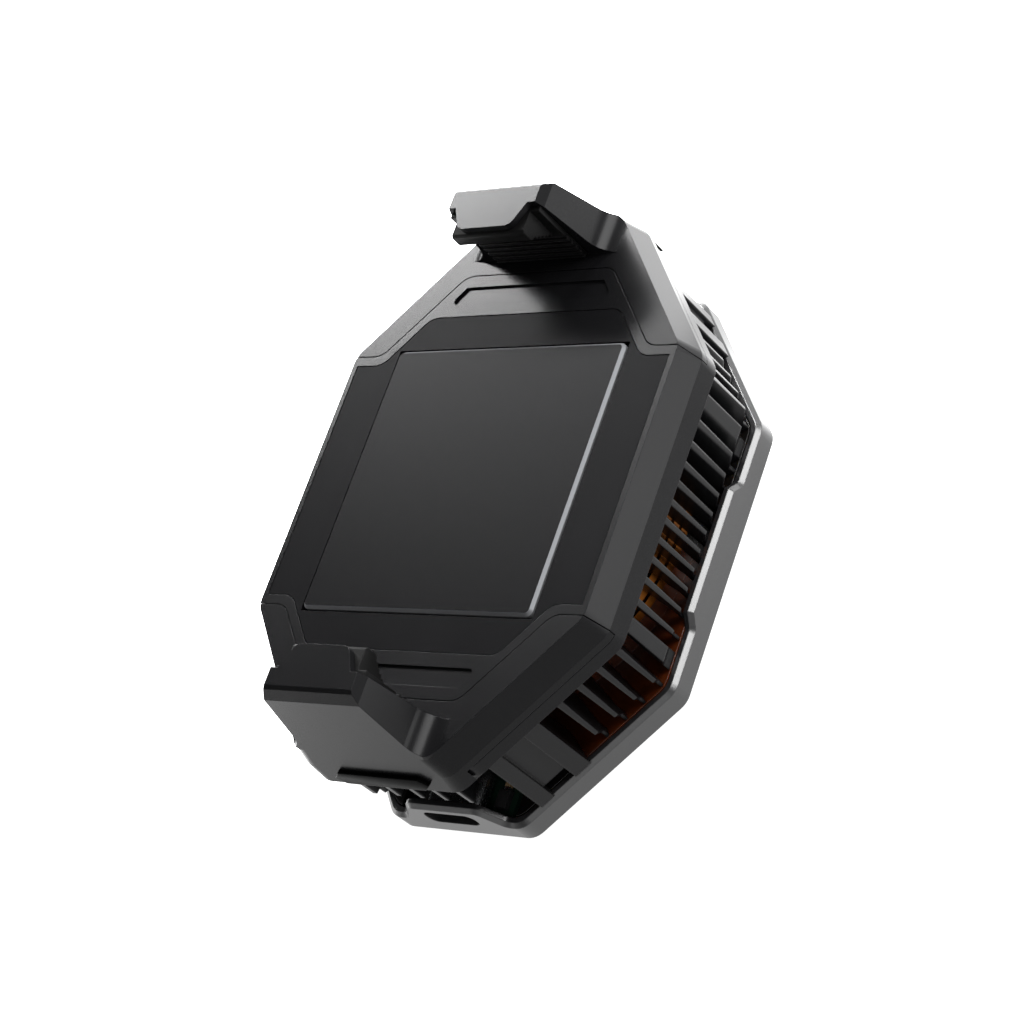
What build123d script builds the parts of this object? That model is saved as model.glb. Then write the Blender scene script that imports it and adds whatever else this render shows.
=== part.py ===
from build123d import *
from math import acos, cos, pi, radians, sin, tan
import os

# Clip-on cooling fan for a phone. Millimetres, +Z up.
# The fan side rests on Z = 0, the cold plate and the two jaws face up, the jaws open along Y
# and the origin lies on the fan's axis.

# Driving dimensions of the case
case_half_width = 29.5  # from the axis to the long side walls
case_half_length = 41.2  # from the axis to the foot of the end walls
slant_step = 6.0  # the slanted walls lie this much farther from the axis than the side walls
slant_angle = 39.6  # normal of a slanted wall, in degrees from X
end_lean = 9.0  # the end walls lean in by this many degrees on the way up
case_corner = 3.0
face_height = 25.5
bevel_height = 4.0
bevel_inset = 1.2
shell_bottom = 18.2

# Driving dimensions of the clamp
jaw_tip_height = 38.2
jaw_depth = 6.8  # from the foot of an end wall in to the jaw's inner face
nose_length = 3.5
jaw_travel = 10.0
grip_thickness = 0.8

# Driving dimensions of the cooling stack and the fan
plate_size = 39.9
module_size = 30.0
module_height = 3.4
sink_side_gap = 3.9  # from the heat sink to the outer face of a side wall
fan_tip_inset = 2.7  # from the heat sink's radius in to the tips of the fan

# Clearances and the overrun of cuts
slide_gap = 0.2
seam_gap = 0.15
seat_gap = 0.1
bore_gap = 0.05
overrun = 1.0

# Shell of the front frame and of the two caps
wall = 1.8
cap_wall = 1.6
cap_skin = 2.0
cap_end_wall = 1.9
parting_step = 0.6
parting_lift = 2.2
frame_inset = 2.2
frame_plate = 2.2

# Outline of the fixed face between the two jaws
band_shoulder = 6.09
band_slant_width = 10.62
band_gap = 2.5
band_corner = 3.0

# Dark contact panel and cold plate
panel_side_border = 2.05
panel_notch_drop = 1.35
panel_notch_inset = 0.67
panel_slant_width = 6.15
panel_end_border = 5.48
panel_corner = 3.0
panel_depth = 0.8
panel_sink = 0.05
plate_gap = 0.25
plate_corner = 1.0
plate_proud = 0.4
plate_thickness = 2.0
plate_chamfer = 0.4

# Finger recess in each band
pocket_near_border = 1.97
pocket_far_border = 1.8
pocket_side_border = 2.39
pocket_taper = 2.1
pocket_depth = 0.35
pocket_corner = 0.6

# Inner deck of the frame, on which the caps slide
deck_margin = 4.2
deck_near_gap = 0.65
deck_thickness = 1.1
upright_near = 2.1
upright_far = 3.3
ledge_thickness = 1.1
boss_radius = 2.2

# Case screws, placed along the slanted walls
screw_along = 15.7
screw_inset = 5.0
screw_radius = 1.0
screw_clear = 1.15
screw_end_gap = 0.6
screw_head_radius = 1.8
screw_head_height = 0.7

# Guide plate under the sliding legs
guide_lift = 0.7
guide_thickness = 1.3
guide_margin = 0.3
pin_radius = 0.6
pin_seat = 0.9

# Racks and pinions
gear_module = 0.5
gear_teeth = 8
pressure_angle = 30.0
gear_addendum = 0.42
gear_dedendum = 0.6
gear_backlash = 0.09
flank_steps = 3
pinion_inset = 5.5
pinion_lift = 0.4
pinion_height = 2.3
leg_thickness = 0.8
leg_lift = 0.3
leg_height = 2.5
leg_overlap = 3.0
first_tooth = -8
tooth_total = 11
outer_root_width = 4.5
outer_root_setback = 0.15
outer_root_length = 1.6
inner_root_width = 1.8
inner_root_gap = 3.45
inner_root_length = 2.6

# Return springs
spring_radius = 1.1
spring_wire = 0.35
spring_start = 5.2
spring_lift = 0.45
peg_radius = 0.7
peg_height = 2.0

# Jaws
jaw_tip_half = 7.55
jaw_shoulder_half = 8.2
jaw_shoulder_drop = 1.4
jaw_foot_half = 10.0
jaw_flare = 3.4
jaw_flare_width = 7.0
jaw_sink = 1.0
nose_thickness = 1.1
nose_half = 4.5
nose_root_half = 6.3
nose_round = 1.5
tip_chamfer_width = 1.3
tip_chamfer_drop = 0.75
side_chamfer = 0.9

# Finger bars on the end walls
bar_lift = 1.9
bar_half = 8.2
bar_shoulder_half = 6.9
bar_half_height = 1.2
bar_thickness = 1.0
bar_seat = 0.4

# Rubber grips
grip_half = 7.8
grip_lift = 0.4
lip_half = 6.3
lip_length = 4.0
lip_edge = 0.35
lip_front = 1.6
lip_undercut = 0.3
lip_undercut_drop = 0.4
slope_lift = 5.7
slope_teeth = 6
slope_tooth_depth = 0.35
slope_tooth_share = 0.7
rib_total = 5
rib_pitch = 1.06
rib_depth = 0.35

# Vent cage
cage_overhang = 0.05
cage_inset = 1.3
cage_drop = 0.2
cage_flange = 1.1
cage_bore_gap = 0.3
spigot_inset = 2.0
spigot_height = 0.8
fin_step = 5.5  # degrees between neighbouring fins
side_fins = 5
post_angle = 30.2
corner_fins = 4
end_fins = 3
end_fin_step = 6.0
fin_thickness = 0.9
fin_taper = 1.2  # degrees on each flank
fin_foot = 8.4
fin_ankle = 6.5
fin_toe = 7.4
fin_link_inset = 2.7
fin_link_width = 1.0
fin_depth = 7.5
post_thickness = 2.2
post_chamfer = 0.6
block_near_half = 4.5
block_far_half = 4.1
block_depth = 6.2
hatch_half = 1.9
hatch_depth = 0.8
hatch_foot = 6.8
hatch_slot_depth = 2.4

# Rear frame
rear_inset = 1.2
rear_wall = 1.3
rear_rim = 4.9
rim_chamfer = 0.6
rear_chamfer = 1.4
rear_seat = 2.0
rear_plate = 1.2
cover_seat_inset = 3.2
rear_bore_margin = 1.5
side_rise = 1.5
side_rise_half = 9.1
side_rise_run = 1.7
port_rise = 3.6
port_rise_half = 6.2
port_rise_run = 2.6
side_rise_round = 0.7
port_rise_round = 2.0
rise_foot_round = 1.1
port_width = 8.8
port_height = 3.0
port_round = 1.35

# Air guide
guide_inset = 2.65
air_guide_top = 5.0
air_guide_skin = 1.0
air_guide_skirt = 1.0
tip_gap = 0.6
duct_wall = 1.0
duct_top = 7.9
bay_half_width = 10.0
bay_near_gap = 4.0
bay_fin_gap = 0.4
bay_top = 12.0
tube_radius = 2.2

# Circuit board, its chips and its socket
board_width = 17.0
board_length = 9.0
board_thickness = 0.8
board_corner = 0.6
socket_width = 8.94
socket_height = 3.2
socket_length = 7.3
socket_round = 1.3
socket_wall = 0.3
socket_back = 1.0
tongue_width = 6.7
tongue_thickness = 0.7
tongue_short = 0.8
chip_length = 2.6
chip_width = 1.9
chip_height = 0.9
chip_spread_x = 6.6
chip_spread_y = 2.2

# Wires of the cooling module
wire_radius = 0.5
wire_spread = 1.2
wire_gap = 5.0
wire_level = 21.4
wire_bend = 2.0
wire_slot_width = 4.4
wire_slot_length = 2.2

# Heat sink and its screws
pedestal_margin = 0.15
sink_flange = 1.7
disc_width = 10.2
disc_total = 4
disc_inset = 0.4
disc_pitch = 1.9
disc_thickness = 1.3
disc_drop = 1.8
pillar_total = 8
pillar_radius = 1.6
gasket_wall_gap = 0.2
sink_screw_x = 8.0
sink_screw_inset = 3.0
sink_screw_radius = 0.7
sink_screw_length = 2.8
sink_screw_head_radius = 1.3
sink_screw_head_height = 0.8

# Fan
hub_radius = 9.5
hub_bottom = 2.9
hub_top = 7.6
hub_wall = 0.9
hub_round = 0.8
hub_boss_radius = 2.0
hub_boss_drop = 0.7
blade_total = 7
blade_bottom = 3.2
blade_top = 7.3
blade_root_chord = 6.0
blade_tip_chord = 10.6
blade_root_pitch = 38.0
blade_tip_pitch = 22.0
blade_bow = 1.1
blade_thickness = 0.7
blade_sink = 0.5
magnet_thickness = 1.4
magnet_height = 3.0
rotor_air_gap = 0.5
stator_bottom = 2.7
stator_height = 2.6
stator_core_radius = 3.8
stator_poles = 6
pole_width = 1.6
pole_tip = 0.9
pole_slot = 1.3
bearing_radius = 1.5
bearing_bottom = 2.2
bearing_height = 3.6
shaft_radius = 0.75
shaft_length = 4.8
bearing_tube_radius = 2.6

# Fan cover
cover_bottom = 0.3
cover_inset = 3.35
grille_inset = 0.3
grille_rings = 3
grille_ring_width = 0.8
spoke_total = 8
spoke_width = 1.2
hub_disc_margin = 1.1

# Outlines that follow from the values above, seen from the face
case_slant_reach = case_half_width + slant_step
frame_reach = case_half_length - frame_inset
cage_reach = case_half_length + cage_overhang
jaw_reach = case_half_length - jaw_depth
nose_reach = jaw_reach - nose_length
grip_reach = jaw_reach - grip_thickness
lip_reach = jaw_reach - lip_length
parting_half = plate_size / 2 - parting_step
band_corner_x = case_half_width - band_shoulder
band_end_x = band_corner_x - band_slant_width
band_end_y = jaw_reach - band_gap
panel_half_width = case_half_width - panel_side_border
panel_side_y = parting_half - panel_notch_drop
panel_notch_x = band_corner_x - panel_notch_inset
panel_end_x = panel_notch_x - panel_slant_width
panel_end_y = plate_size / 2 + panel_end_border
pocket_near_y = panel_end_y + pocket_near_border
pocket_far_y = band_end_y - pocket_far_border
pocket_near_half = panel_end_x - pocket_side_border
pocket_far_half = pocket_near_half - pocket_taper
pinion_x = case_half_width - pinion_inset
deck_half = pinion_x - deck_margin
deck_near_y = plate_size / 2 + deck_near_gap
leg_end_y = jaw_travel + leg_overlap
outer_root_y = plate_size / 2 - outer_root_setback
inner_root_y = plate_size / 2 + inner_root_gap
pedestal_size = plate_size + 2 * pedestal_margin
guide_opening = pedestal_size + 2 * guide_margin
sink_radius = case_half_width - sink_side_gap
pillar_circle = sink_radius - disc_width / 2
sink_bore = sink_radius - disc_width - disc_inset
sink_screw_y = sink_radius - sink_screw_inset
wire_y = sink_radius + wire_gap
fan_radius = sink_radius - fan_tip_inset
duct_radius = fan_radius + tip_gap
rear_bore = duct_radius + rear_bore_margin
grille_radius = duct_radius - grille_inset
hub_disc_radius = hub_radius + hub_disc_margin
bay_near_y = duct_radius + bay_near_gap
bay_fin_y = wire_y + bay_fin_gap
block_near = screw_along - block_near_half
block_far = screw_along + block_far_half
hatch_near = screw_along - hatch_half
hatch_far = screw_along + hatch_half

# Levels that follow from the values above
bevel_bottom = face_height - bevel_height
parting_height = shell_bottom + parting_lift
guide_bottom = shell_bottom + guide_lift
cage_top = shell_bottom - cage_drop
bar_height = shell_bottom + bar_lift
slope_foot = face_height + slope_lift
plate_bottom = face_height - frame_plate
skin_bottom = face_height - cap_skin
ring_top = parting_height - seat_gap
deck_bottom = plate_bottom - deck_thickness
guide_top = guide_bottom + guide_thickness
leg_bottom = guide_top + leg_lift
opening_size = plate_size + 2 * plate_gap
plate_top = face_height + plate_proud
plate_underside = plate_top - plate_thickness
sink_top = plate_underside - module_height
sink_flange_bottom = guide_bottom - sink_flange
disc_top = sink_flange_bottom - disc_drop
sink_foot = disc_top - (disc_total - 1) * disc_pitch - disc_thickness
cage_bore = sink_radius + cage_bore_gap
cage_underside = cage_top - cage_flange
cage_foot = rear_rim + seat_gap
fin_base = air_guide_top + seat_gap
rear_plate_top = rear_seat + rear_plate
rear_inner_y = cage_reach - rear_inset - rear_wall
board_top = rear_plate_top + board_thickness
board_y = rear_inner_y - slide_gap - board_length / 2
port_middle = board_top + socket_height / 2
pitch_radius = gear_module * gear_teeth / 2
tooth_pitch = pi * gear_module
blade_middle = (blade_bottom + blade_top) / 2
tube_top = bearing_bottom + bearing_height
magnet_radius = hub_radius - hub_wall - bore_gap
stator_radius = magnet_radius - magnet_thickness - rotor_air_gap
normal_x = cos(radians(slant_angle))
normal_y = sin(radians(slant_angle))
case_width = 2 * case_half_width
case_length = 2 * case_half_length


def end_reach(height):
    """Distance of the leaning end wall from the axis at one height."""
    return case_half_length - (height - shell_bottom) * tan(radians(end_lean))


def four_quarters(quarter):
    """A chain of corners in the first quarter, carried on round the other three."""
    upper = quarter + [(-x, y) for x, y in reversed(quarter)]
    return upper + [(-x, -y) for x, y in upper]


def outline_points(inset, reach):
    """Corners of the eight-sided case, moved in from the outer walls."""
    half_x = case_half_width - inset
    half_y = reach - inset
    slant = case_slant_reach - inset
    side_corner = (half_x, (slant - normal_x * half_x) / normal_y)
    end_corner = ((slant - normal_y * half_y) / normal_x, half_y)
    return four_quarters([side_corner, end_corner])


def case_outline(height, inset, reach):
    """The case's outline as a face at one height."""
    with BuildSketch(Plane.XY.offset(height), mode=Mode.PRIVATE) as face:
        with BuildLine():
            Polyline(*outline_points(inset, reach), close=True)
        make_face()
        fillet(face.vertices(), case_corner)
    return face.sketch


def notched_outline(height, quarter, widest, radius, grow):
    """An outline from its first quarter, rounded everywhere but at its widest corners."""
    with BuildSketch(Plane.XY.offset(height), mode=Mode.PRIVATE) as face:
        with BuildLine():
            Polyline(*four_quarters(quarter), close=True)
        make_face()
        fillet([v for v in face.vertices() if abs(v.X) < widest - seam_gap], radius)
        if grow:
            offset(amount=grow, kind=Kind.INTERSECTION)
    return face.sketch


def face_outline(height, grow):
    """The fixed face between the jaws, a full-width middle with a narrower band at each end."""
    widest = case_half_width + overrun
    quarter = [(widest, parting_half), (band_corner_x, parting_half), (band_end_x, band_end_y)]
    return notched_outline(height, quarter, widest, band_corner, grow)


def panel_outline(height, grow):
    """The notched contact panel."""
    quarter = [
        (panel_half_width, panel_side_y),
        (panel_notch_x, panel_side_y),
        (panel_end_x, panel_end_y),
    ]
    return notched_outline(height, quarter, panel_half_width, panel_corner, grow)


def slanted_place(along, depth):
    """A place by the first slanted wall, measured along it towards the end and in from it."""
    out = case_slant_reach - depth
    return (normal_x * out - normal_y * along, normal_y * out + normal_x * along)


def radial_place(angle, out, across):
    """A place seen from the axis, measured outwards and across a ray."""
    ray_x = cos(radians(angle))
    ray_y = sin(radians(angle))
    return (ray_x * out - ray_y * across, ray_y * out + ray_x * across)


def disc(height, radius):
    """A round face on the axis at one height."""
    with BuildSketch(Plane.XY.offset(height), mode=Mode.PRIVATE) as face:
        Circle(radius)
    return face.sketch


def discs_at(height, places, radius):
    """Round faces at one height, one at each place."""
    with BuildSketch(Plane.XY.offset(height), mode=Mode.PRIVATE) as faces:
        with Locations(*places):
            Circle(radius)
    return faces.sketch


def slab(height, width, length, middle_y=0):
    """A rectangular face at one height, centred on X."""
    with BuildSketch(Plane.XY.offset(height), mode=Mode.PRIVATE) as face:
        with Locations((0, middle_y)):
            Rectangle(width, length)
    return face.sketch


def polygon(plane, points):
    """A face with straight sides on a plane."""
    with BuildSketch(plane, mode=Mode.PRIVATE) as face:
        with BuildLine():
            Polyline(*points, close=True)
        make_face()
    return face.sketch


screw_places = four_quarters([slanted_place(screw_along, screw_inset)])
sink_screw_places = four_quarters([(sink_screw_x, sink_screw_y)])

# Solid block of the whole bevelled case, from which the frame and the two caps are cut
with BuildPart() as case_block:
    block_foot = case_outline(shell_bottom, 0, end_reach(shell_bottom))
    block_middle = case_outline(bevel_bottom, 0, end_reach(bevel_bottom))
    block_face = case_outline(face_height, bevel_inset, end_reach(face_height) + bevel_inset)
    loft(sections=[block_foot, block_middle, block_face], ruled=True)

# Inner deck of the frame: a floor under each sliding cap, an upright all round it
# and a ledge that ties it to the low wall
with BuildPart() as inner_deck:
    ledge_bottom = ring_top - ledge_thickness
    deck_height = plate_bottom - ledge_bottom
    extrude(case_outline(ledge_bottom, wall / 2, frame_reach), amount=ledge_thickness)
    extrude(case_outline(ring_top, upright_near, frame_reach), amount=plate_bottom - ring_top)
    under_deck = case_outline(ledge_bottom, upright_far, frame_reach)
    extrude(under_deck, amount=deck_bottom - ledge_bottom, mode=Mode.SUBTRACT)
    extrude(slab(ledge_bottom, 2 * deck_half, case_length), amount=deck_height, mode=Mode.INTERSECT)
    extrude(slab(ledge_bottom, case_width, 2 * deck_near_y), amount=deck_height, mode=Mode.SUBTRACT)

# Front frame: the fixed middle of the shell with its two bands, the low wall all round
# under the caps, the inner deck and the bosses for the case screws
with BuildPart() as front_frame:
    extrude(face_outline(plate_bottom, 0), amount=frame_plate)
    with BuildSketch(Plane.XY.offset(shell_bottom)):
        with Locations((case_half_width - wall / 2, 0), (wall / 2 - case_half_width, 0)):
            Rectangle(wall, 2 * parting_half)
    extrude(amount=plate_bottom - shell_bottom)
    add(case_block.part, mode=Mode.INTERSECT)
    low_wall = case_outline(shell_bottom, 0, frame_reach) - case_outline(shell_bottom, wall, frame_reach)
    extrude(low_wall, amount=ring_top - shell_bottom)
    add(inner_deck.part)
    extrude(discs_at(ring_top, screw_places, boss_radius), amount=deck_bottom - ring_top)
    boss_bores = discs_at(ring_top, screw_places, screw_radius + bore_gap)
    extrude(boss_bores, amount=plate_bottom - screw_end_gap - ring_top, mode=Mode.SUBTRACT)
    extrude(panel_outline(face_height - panel_depth, 0), amount=panel_depth, mode=Mode.SUBTRACT)
    extrude(slab(plate_bottom, opening_size, opening_size), amount=frame_plate, mode=Mode.SUBTRACT)
    with BuildSketch(Plane.XY.offset(face_height - pocket_depth)) as pocket:
        with BuildLine():
            Polyline(
                (pocket_near_half, pocket_near_y),
                (pocket_far_half, pocket_far_y),
                (-pocket_far_half, pocket_far_y),
                (-pocket_near_half, pocket_near_y),
                close=True,
            )
        make_face()
        fillet(pocket.vertices(), pocket_corner)
        mirror(about=Plane.XZ)
    extrude(amount=pocket_depth, mode=Mode.SUBTRACT)

# Dark contact panel let into the face, open in the middle for the cold plate
with BuildPart() as contact_panel:
    panel_bottom = face_height - panel_depth
    extrude(panel_outline(panel_bottom, -seat_gap), amount=panel_depth - panel_sink)
    extrude(slab(panel_bottom, opening_size, opening_size), amount=panel_depth, mode=Mode.SUBTRACT)

# Cold plate, standing a little proud of the panel, with a bright chamfer round its top
with BuildPart() as cold_plate:
    with BuildSketch(Plane.XY.offset(plate_underside)):
        RectangleRounded(plate_size, plate_size, plate_corner)
    extrude(amount=plate_thickness)
    chamfer(cold_plate.faces().sort_by(Axis.Z)[-1].edges(), plate_chamfer)

# Thermoelectric module between the cold plate and the heat sink
with BuildPart() as peltier_module:
    extrude(slab(sink_top, module_size, module_size), amount=module_height)

# Foam gasket round the module, notched for its two wires
with BuildPart() as insulation_gasket:
    gasket_size = plate_size - seat_gap
    gasket_inner = module_size + 2 * gasket_wall_gap
    extrude(slab(sink_top, gasket_size, gasket_size), amount=module_height - bore_gap)
    extrude(slab(sink_top, gasket_inner, gasket_inner), amount=module_height, mode=Mode.SUBTRACT)
    notch = slab(sink_top, wire_slot_width, gasket_size / 2, -gasket_size / 2)
    notch_height = wire_level + 2 * wire_radius - sink_top
    extrude(notch, amount=notch_height, mode=Mode.SUBTRACT)

# Guide plate: the floor on which the legs slide, with the pegs of the two return springs
with BuildPart() as guide_plate:
    extrude(case_outline(guide_bottom, wall + seat_gap, frame_reach), amount=guide_thickness)
    guide_middle = slab(guide_bottom, 2 * (deck_half + seat_gap), case_length)
    extrude(guide_middle, amount=guide_thickness, mode=Mode.SUBTRACT)
    extrude(case_outline(guide_bottom, upright_far + seat_gap, frame_reach), amount=guide_thickness)
    guide_cuts = [
        slab(guide_bottom, guide_opening, guide_opening),
        slab(guide_bottom, wire_slot_width, wire_slot_length, -wire_y),
        discs_at(guide_bottom, screw_places, screw_clear),
        discs_at(guide_bottom, sink_screw_places, sink_screw_radius + bore_gap),
    ]
    for cut in guide_cuts:
        extrude(cut, amount=guide_thickness, mode=Mode.SUBTRACT)
    pin_seats = discs_at(guide_top - pin_seat, [(pinion_x, 0), (-pinion_x, 0)], pin_radius)
    extrude(pin_seats, amount=pin_seat, mode=Mode.SUBTRACT)
    peg_y = spring_start - peg_radius - seat_gap
    extrude(discs_at(guide_top, [(pinion_x, peg_y), (-pinion_x, -peg_y)], peg_radius), amount=peg_height)


def rack_leg(gear_x, end_y):
    """A toothed leg on the +X side of the pinion at gear_x, from below the pinion to end_y."""
    root_x = gear_x + pitch_radius + gear_dedendum
    tip_x = gear_x + pitch_radius - gear_addendum
    flank = tan(radians(pressure_angle))
    half_pitch = tooth_pitch / 4 - gear_backlash / 2
    tip_half = half_pitch - gear_addendum * flank
    root_half = half_pitch + gear_dedendum * flank
    with BuildSketch(Plane.XY.offset(leg_bottom), mode=Mode.PRIVATE) as leg:
        with Locations((root_x + leg_thickness / 2, (end_y - leg_end_y) / 2)):
            Rectangle(leg_thickness, end_y + leg_end_y)
        for index in range(tooth_total):
            tooth_y = (first_tooth + index + 1 / 2) * tooth_pitch
            with BuildLine():
                Polyline(
                    (root_x, tooth_y - root_half),
                    (tip_x, tooth_y - tip_half),
                    (tip_x, tooth_y + tip_half),
                    (root_x, tooth_y + root_half),
                    close=True,
                )
            make_face()
    return leg.sketch


def end_wall_plane(height):
    """A plane on the upper end wall, its X along the wall and its normal pointing out."""
    lean = radians(end_lean)
    origin = (0, end_reach(height), height)
    return Plane(origin=origin, x_dir=(-1, 0, 0), z_dir=(0, cos(lean), sin(lean)))


# Corners of the long six-sided finger bar on an end wall
bar_points = [
    (bar_half, 0),
    (bar_shoulder_half, bar_half_height),
    (-bar_shoulder_half, bar_half_height),
    (-bar_half, 0),
    (-bar_shoulder_half, -bar_half_height),
    (bar_shoulder_half, -bar_half_height),
]

# Hook of the upper jaw: a leaning slab whose sides flare into the face of the case,
# trimmed so that its feet follow the bevelled slanted walls
with BuildPart() as upper_hook:
    hook_foot = face_height - jaw_sink
    chamfer_foot = jaw_tip_height - tip_chamfer_drop
    hook_side = [
        (jaw_reach, hook_foot),
        (jaw_reach, jaw_tip_height),
        (end_reach(chamfer_foot) - tip_chamfer_width, jaw_tip_height),
        (end_reach(chamfer_foot), chamfer_foot),
        (end_reach(hook_foot), hook_foot),
    ]
    extrude(polygon(Plane.YZ.offset(-case_half_width), hook_side), amount=case_width)
    flare_half = jaw_foot_half + jaw_flare_width
    right_side = [
        (flare_half, hook_foot),
        (flare_half, face_height),
        (jaw_foot_half, face_height),
        (jaw_shoulder_half, jaw_tip_height - jaw_shoulder_drop),
        (jaw_tip_half, jaw_tip_height),
    ]
    with BuildSketch(Plane.XZ) as hook_front:
        with BuildLine():
            Polyline(*right_side, *[(-x, z) for x, z in reversed(right_side)], close=True)
        make_face()
        feet = [v for v in hook_front.vertices() if abs(abs(v.X) - jaw_foot_half) < seam_gap]
        fillet(feet, jaw_flare)
    extrude(amount=-case_length, mode=Mode.INTERSECT)
    trim = case_outline(hook_foot, bevel_inset, end_reach(hook_foot) + bevel_inset)
    extrude(trim, amount=jaw_tip_height - hook_foot, mode=Mode.INTERSECT)
    outward_faces = upper_hook.faces().filter_by(lambda face: face.normal_at().Y > 1 / 2)
    outer_face = outward_faces.sort_by(SortBy.AREA)[-1]
    side_edges = outer_face.edges().filter_by(GeomType.LINE).sort_by(SortBy.LENGTH)[-2:]
    chamfer(side_edges, side_chamfer)

# Upper jaw: a hollow cap that slides over the frame, with the hook, its nose
# and two toothed legs that reach past the pinions
with BuildPart() as upper_jaw:
    add(case_block.part)
    cap_start = parting_half + seam_gap
    cap_slab = slab(shell_bottom, case_width, case_length, cap_start + case_half_length)
    extrude(cap_slab, amount=face_height - shell_bottom, mode=Mode.INTERSECT)
    cap_hollow = case_outline(shell_bottom, cap_wall, case_half_length - cap_end_wall + cap_wall)
    extrude(cap_hollow, amount=skin_bottom - shell_bottom, mode=Mode.SUBTRACT)
    low_cut = slab(shell_bottom, case_width, case_length, frame_reach + seam_gap - case_half_length)
    extrude(low_cut, amount=parting_height - shell_bottom, mode=Mode.SUBTRACT)
    extrude(rack_leg(pinion_x, outer_root_y + outer_root_length), amount=leg_height)
    extrude(rack_leg(-pinion_x, inner_root_y + inner_root_length), amount=leg_height)
    root_height = skin_bottom - leg_bottom
    leg_back = pitch_radius + gear_dedendum + leg_thickness
    with BuildSketch(Plane.XY.offset(leg_bottom)):
        outer_root_x = pinion_x + leg_back - outer_root_width / 2
        with Locations((outer_root_x, outer_root_y + outer_root_length / 2)):
            Rectangle(outer_root_width, outer_root_length)
        inner_root_x = leg_back - pinion_x - inner_root_width / 2
        with Locations((inner_root_x, inner_root_y + inner_root_length / 2)):
            Rectangle(inner_root_width, inner_root_length)
    extrude(amount=root_height)
    fixed_face = face_outline(plate_bottom - slide_gap, seam_gap)
    extrude(fixed_face, amount=frame_plate + slide_gap, mode=Mode.SUBTRACT)
    add(upper_hook.part)
    with BuildSketch(Plane.XY.offset(jaw_tip_height - nose_thickness)) as nose:
        with BuildLine():
            Polyline(
                (nose_half, nose_reach),
                (nose_root_half, jaw_reach),
                (-nose_root_half, jaw_reach),
                (-nose_half, nose_reach),
                close=True,
            )
        make_face()
        fillet(nose.vertices().group_by(Axis.Y)[0], nose_round)
    extrude(amount=nose_thickness)
    extrude(polygon(end_wall_plane(bar_height), bar_points), amount=-bar_seat, mode=Mode.SUBTRACT)

with BuildPart() as lower_jaw:
    add(upper_jaw.part, rotation=(0, 0, 180))

# Finger bar let into the end wall of a jaw
with BuildPart() as upper_finger_bar:
    bar_plane = end_wall_plane(bar_height).offset(-bar_seat)
    extrude(polygon(bar_plane, bar_points), amount=bar_thickness)

with BuildPart() as lower_finger_bar:
    add(upper_finger_bar.part, rotation=(0, 0, 180))

# Rubber grip: a ribbed pad down the jaw's inner face and, under the nose,
# a thick lip whose slope carries fine teeth
with BuildPart() as upper_grip:
    grip_bottom = face_height + grip_lift
    grip_top = jaw_tip_height - nose_thickness
    grip_height = grip_top - grip_bottom
    with BuildSketch(Plane.YZ.offset(-grip_half)):
        with Locations(((grip_reach + jaw_reach) / 2, grip_bottom + grip_height / 2)):
            Rectangle(jaw_reach - grip_reach, grip_height)
        for index in range(rib_total):
            with Locations((grip_reach, grip_bottom + (index + 1 / 2) * rib_pitch)):
                Rectangle(2 * rib_depth, rib_pitch / 2, mode=Mode.SUBTRACT)
    extrude(amount=2 * grip_half)
    slope_top_z = grip_top - lip_edge - lip_front - lip_undercut_drop
    slope_start = Vector(lip_reach + lip_undercut, slope_top_z)
    slope_step = (Vector(grip_reach, slope_foot) - slope_start) / slope_teeth
    notch_in = slope_step.rotate(Axis.Z, 90).normalized() * slope_tooth_depth
    teeth = []
    for index in range(slope_teeth):
        crest = slope_start + slope_step * index
        root = crest + slope_step * slope_tooth_share + notch_in
        teeth += [(crest.X, crest.Y), (root.X, root.Y)]
    lip_back = (grip_reach + jaw_reach) / 2
    lip_points = [
        (lip_back, grip_top),
        (lip_reach + lip_edge, grip_top),
        (lip_reach, grip_top - lip_edge),
        (lip_reach, grip_top - lip_edge - lip_front),
        *teeth,
        (grip_reach, slope_foot),
        (lip_back, slope_foot),
    ]
    extrude(polygon(Plane.YZ.offset(-lip_half), lip_points), amount=2 * lip_half)

with BuildPart() as lower_grip:
    add(upper_grip.part, rotation=(0, 0, 180))


def pinion_points():
    """Corners of the pinion's outline, with involute flanks between short radial roots."""
    base_radius = pitch_radius * cos(radians(pressure_angle))
    tip_radius = pitch_radius + gear_addendum
    root_radius = pitch_radius - gear_dedendum
    pitch_half = pi / (2 * gear_teeth) - gear_backlash / (2 * pitch_radius)
    pitch_involute = tan(radians(pressure_angle)) - radians(pressure_angle)
    flank = []
    for step in range(flank_steps + 1):
        radius = base_radius + (tip_radius - base_radius) * step / flank_steps
        roll = acos(min(1, base_radius / radius))
        flank.append((radius, pitch_half + pitch_involute - tan(roll) + roll))
    flank = [(root_radius, flank[0][1])] + flank
    points = []
    for tooth in range(gear_teeth):
        middle = 2 * pi * tooth / gear_teeth
        rising = [(radius, middle - half) for radius, half in flank]
        falling = [(radius, middle + half) for radius, half in reversed(flank)]
        points += [(radius * cos(a), radius * sin(a)) for radius, a in rising + falling]
    return points


# Pinion that ties the two jaws together, so that both always open by the same amount
with BuildPart() as pinion:
    extrude(polygon(Plane.XY.offset(guide_top + pinion_lift), pinion_points()), amount=pinion_height)
    bore = disc(guide_top + pinion_lift, pin_radius + bore_gap)
    extrude(bore, amount=pinion_height, mode=Mode.SUBTRACT)

with BuildPart() as right_pinion:
    with Locations((pinion_x, 0, 0)):
        add(pinion.part)

with BuildPart() as left_pinion:
    with Locations((-pinion_x, 0, 0)):
        add(pinion.part)

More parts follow.
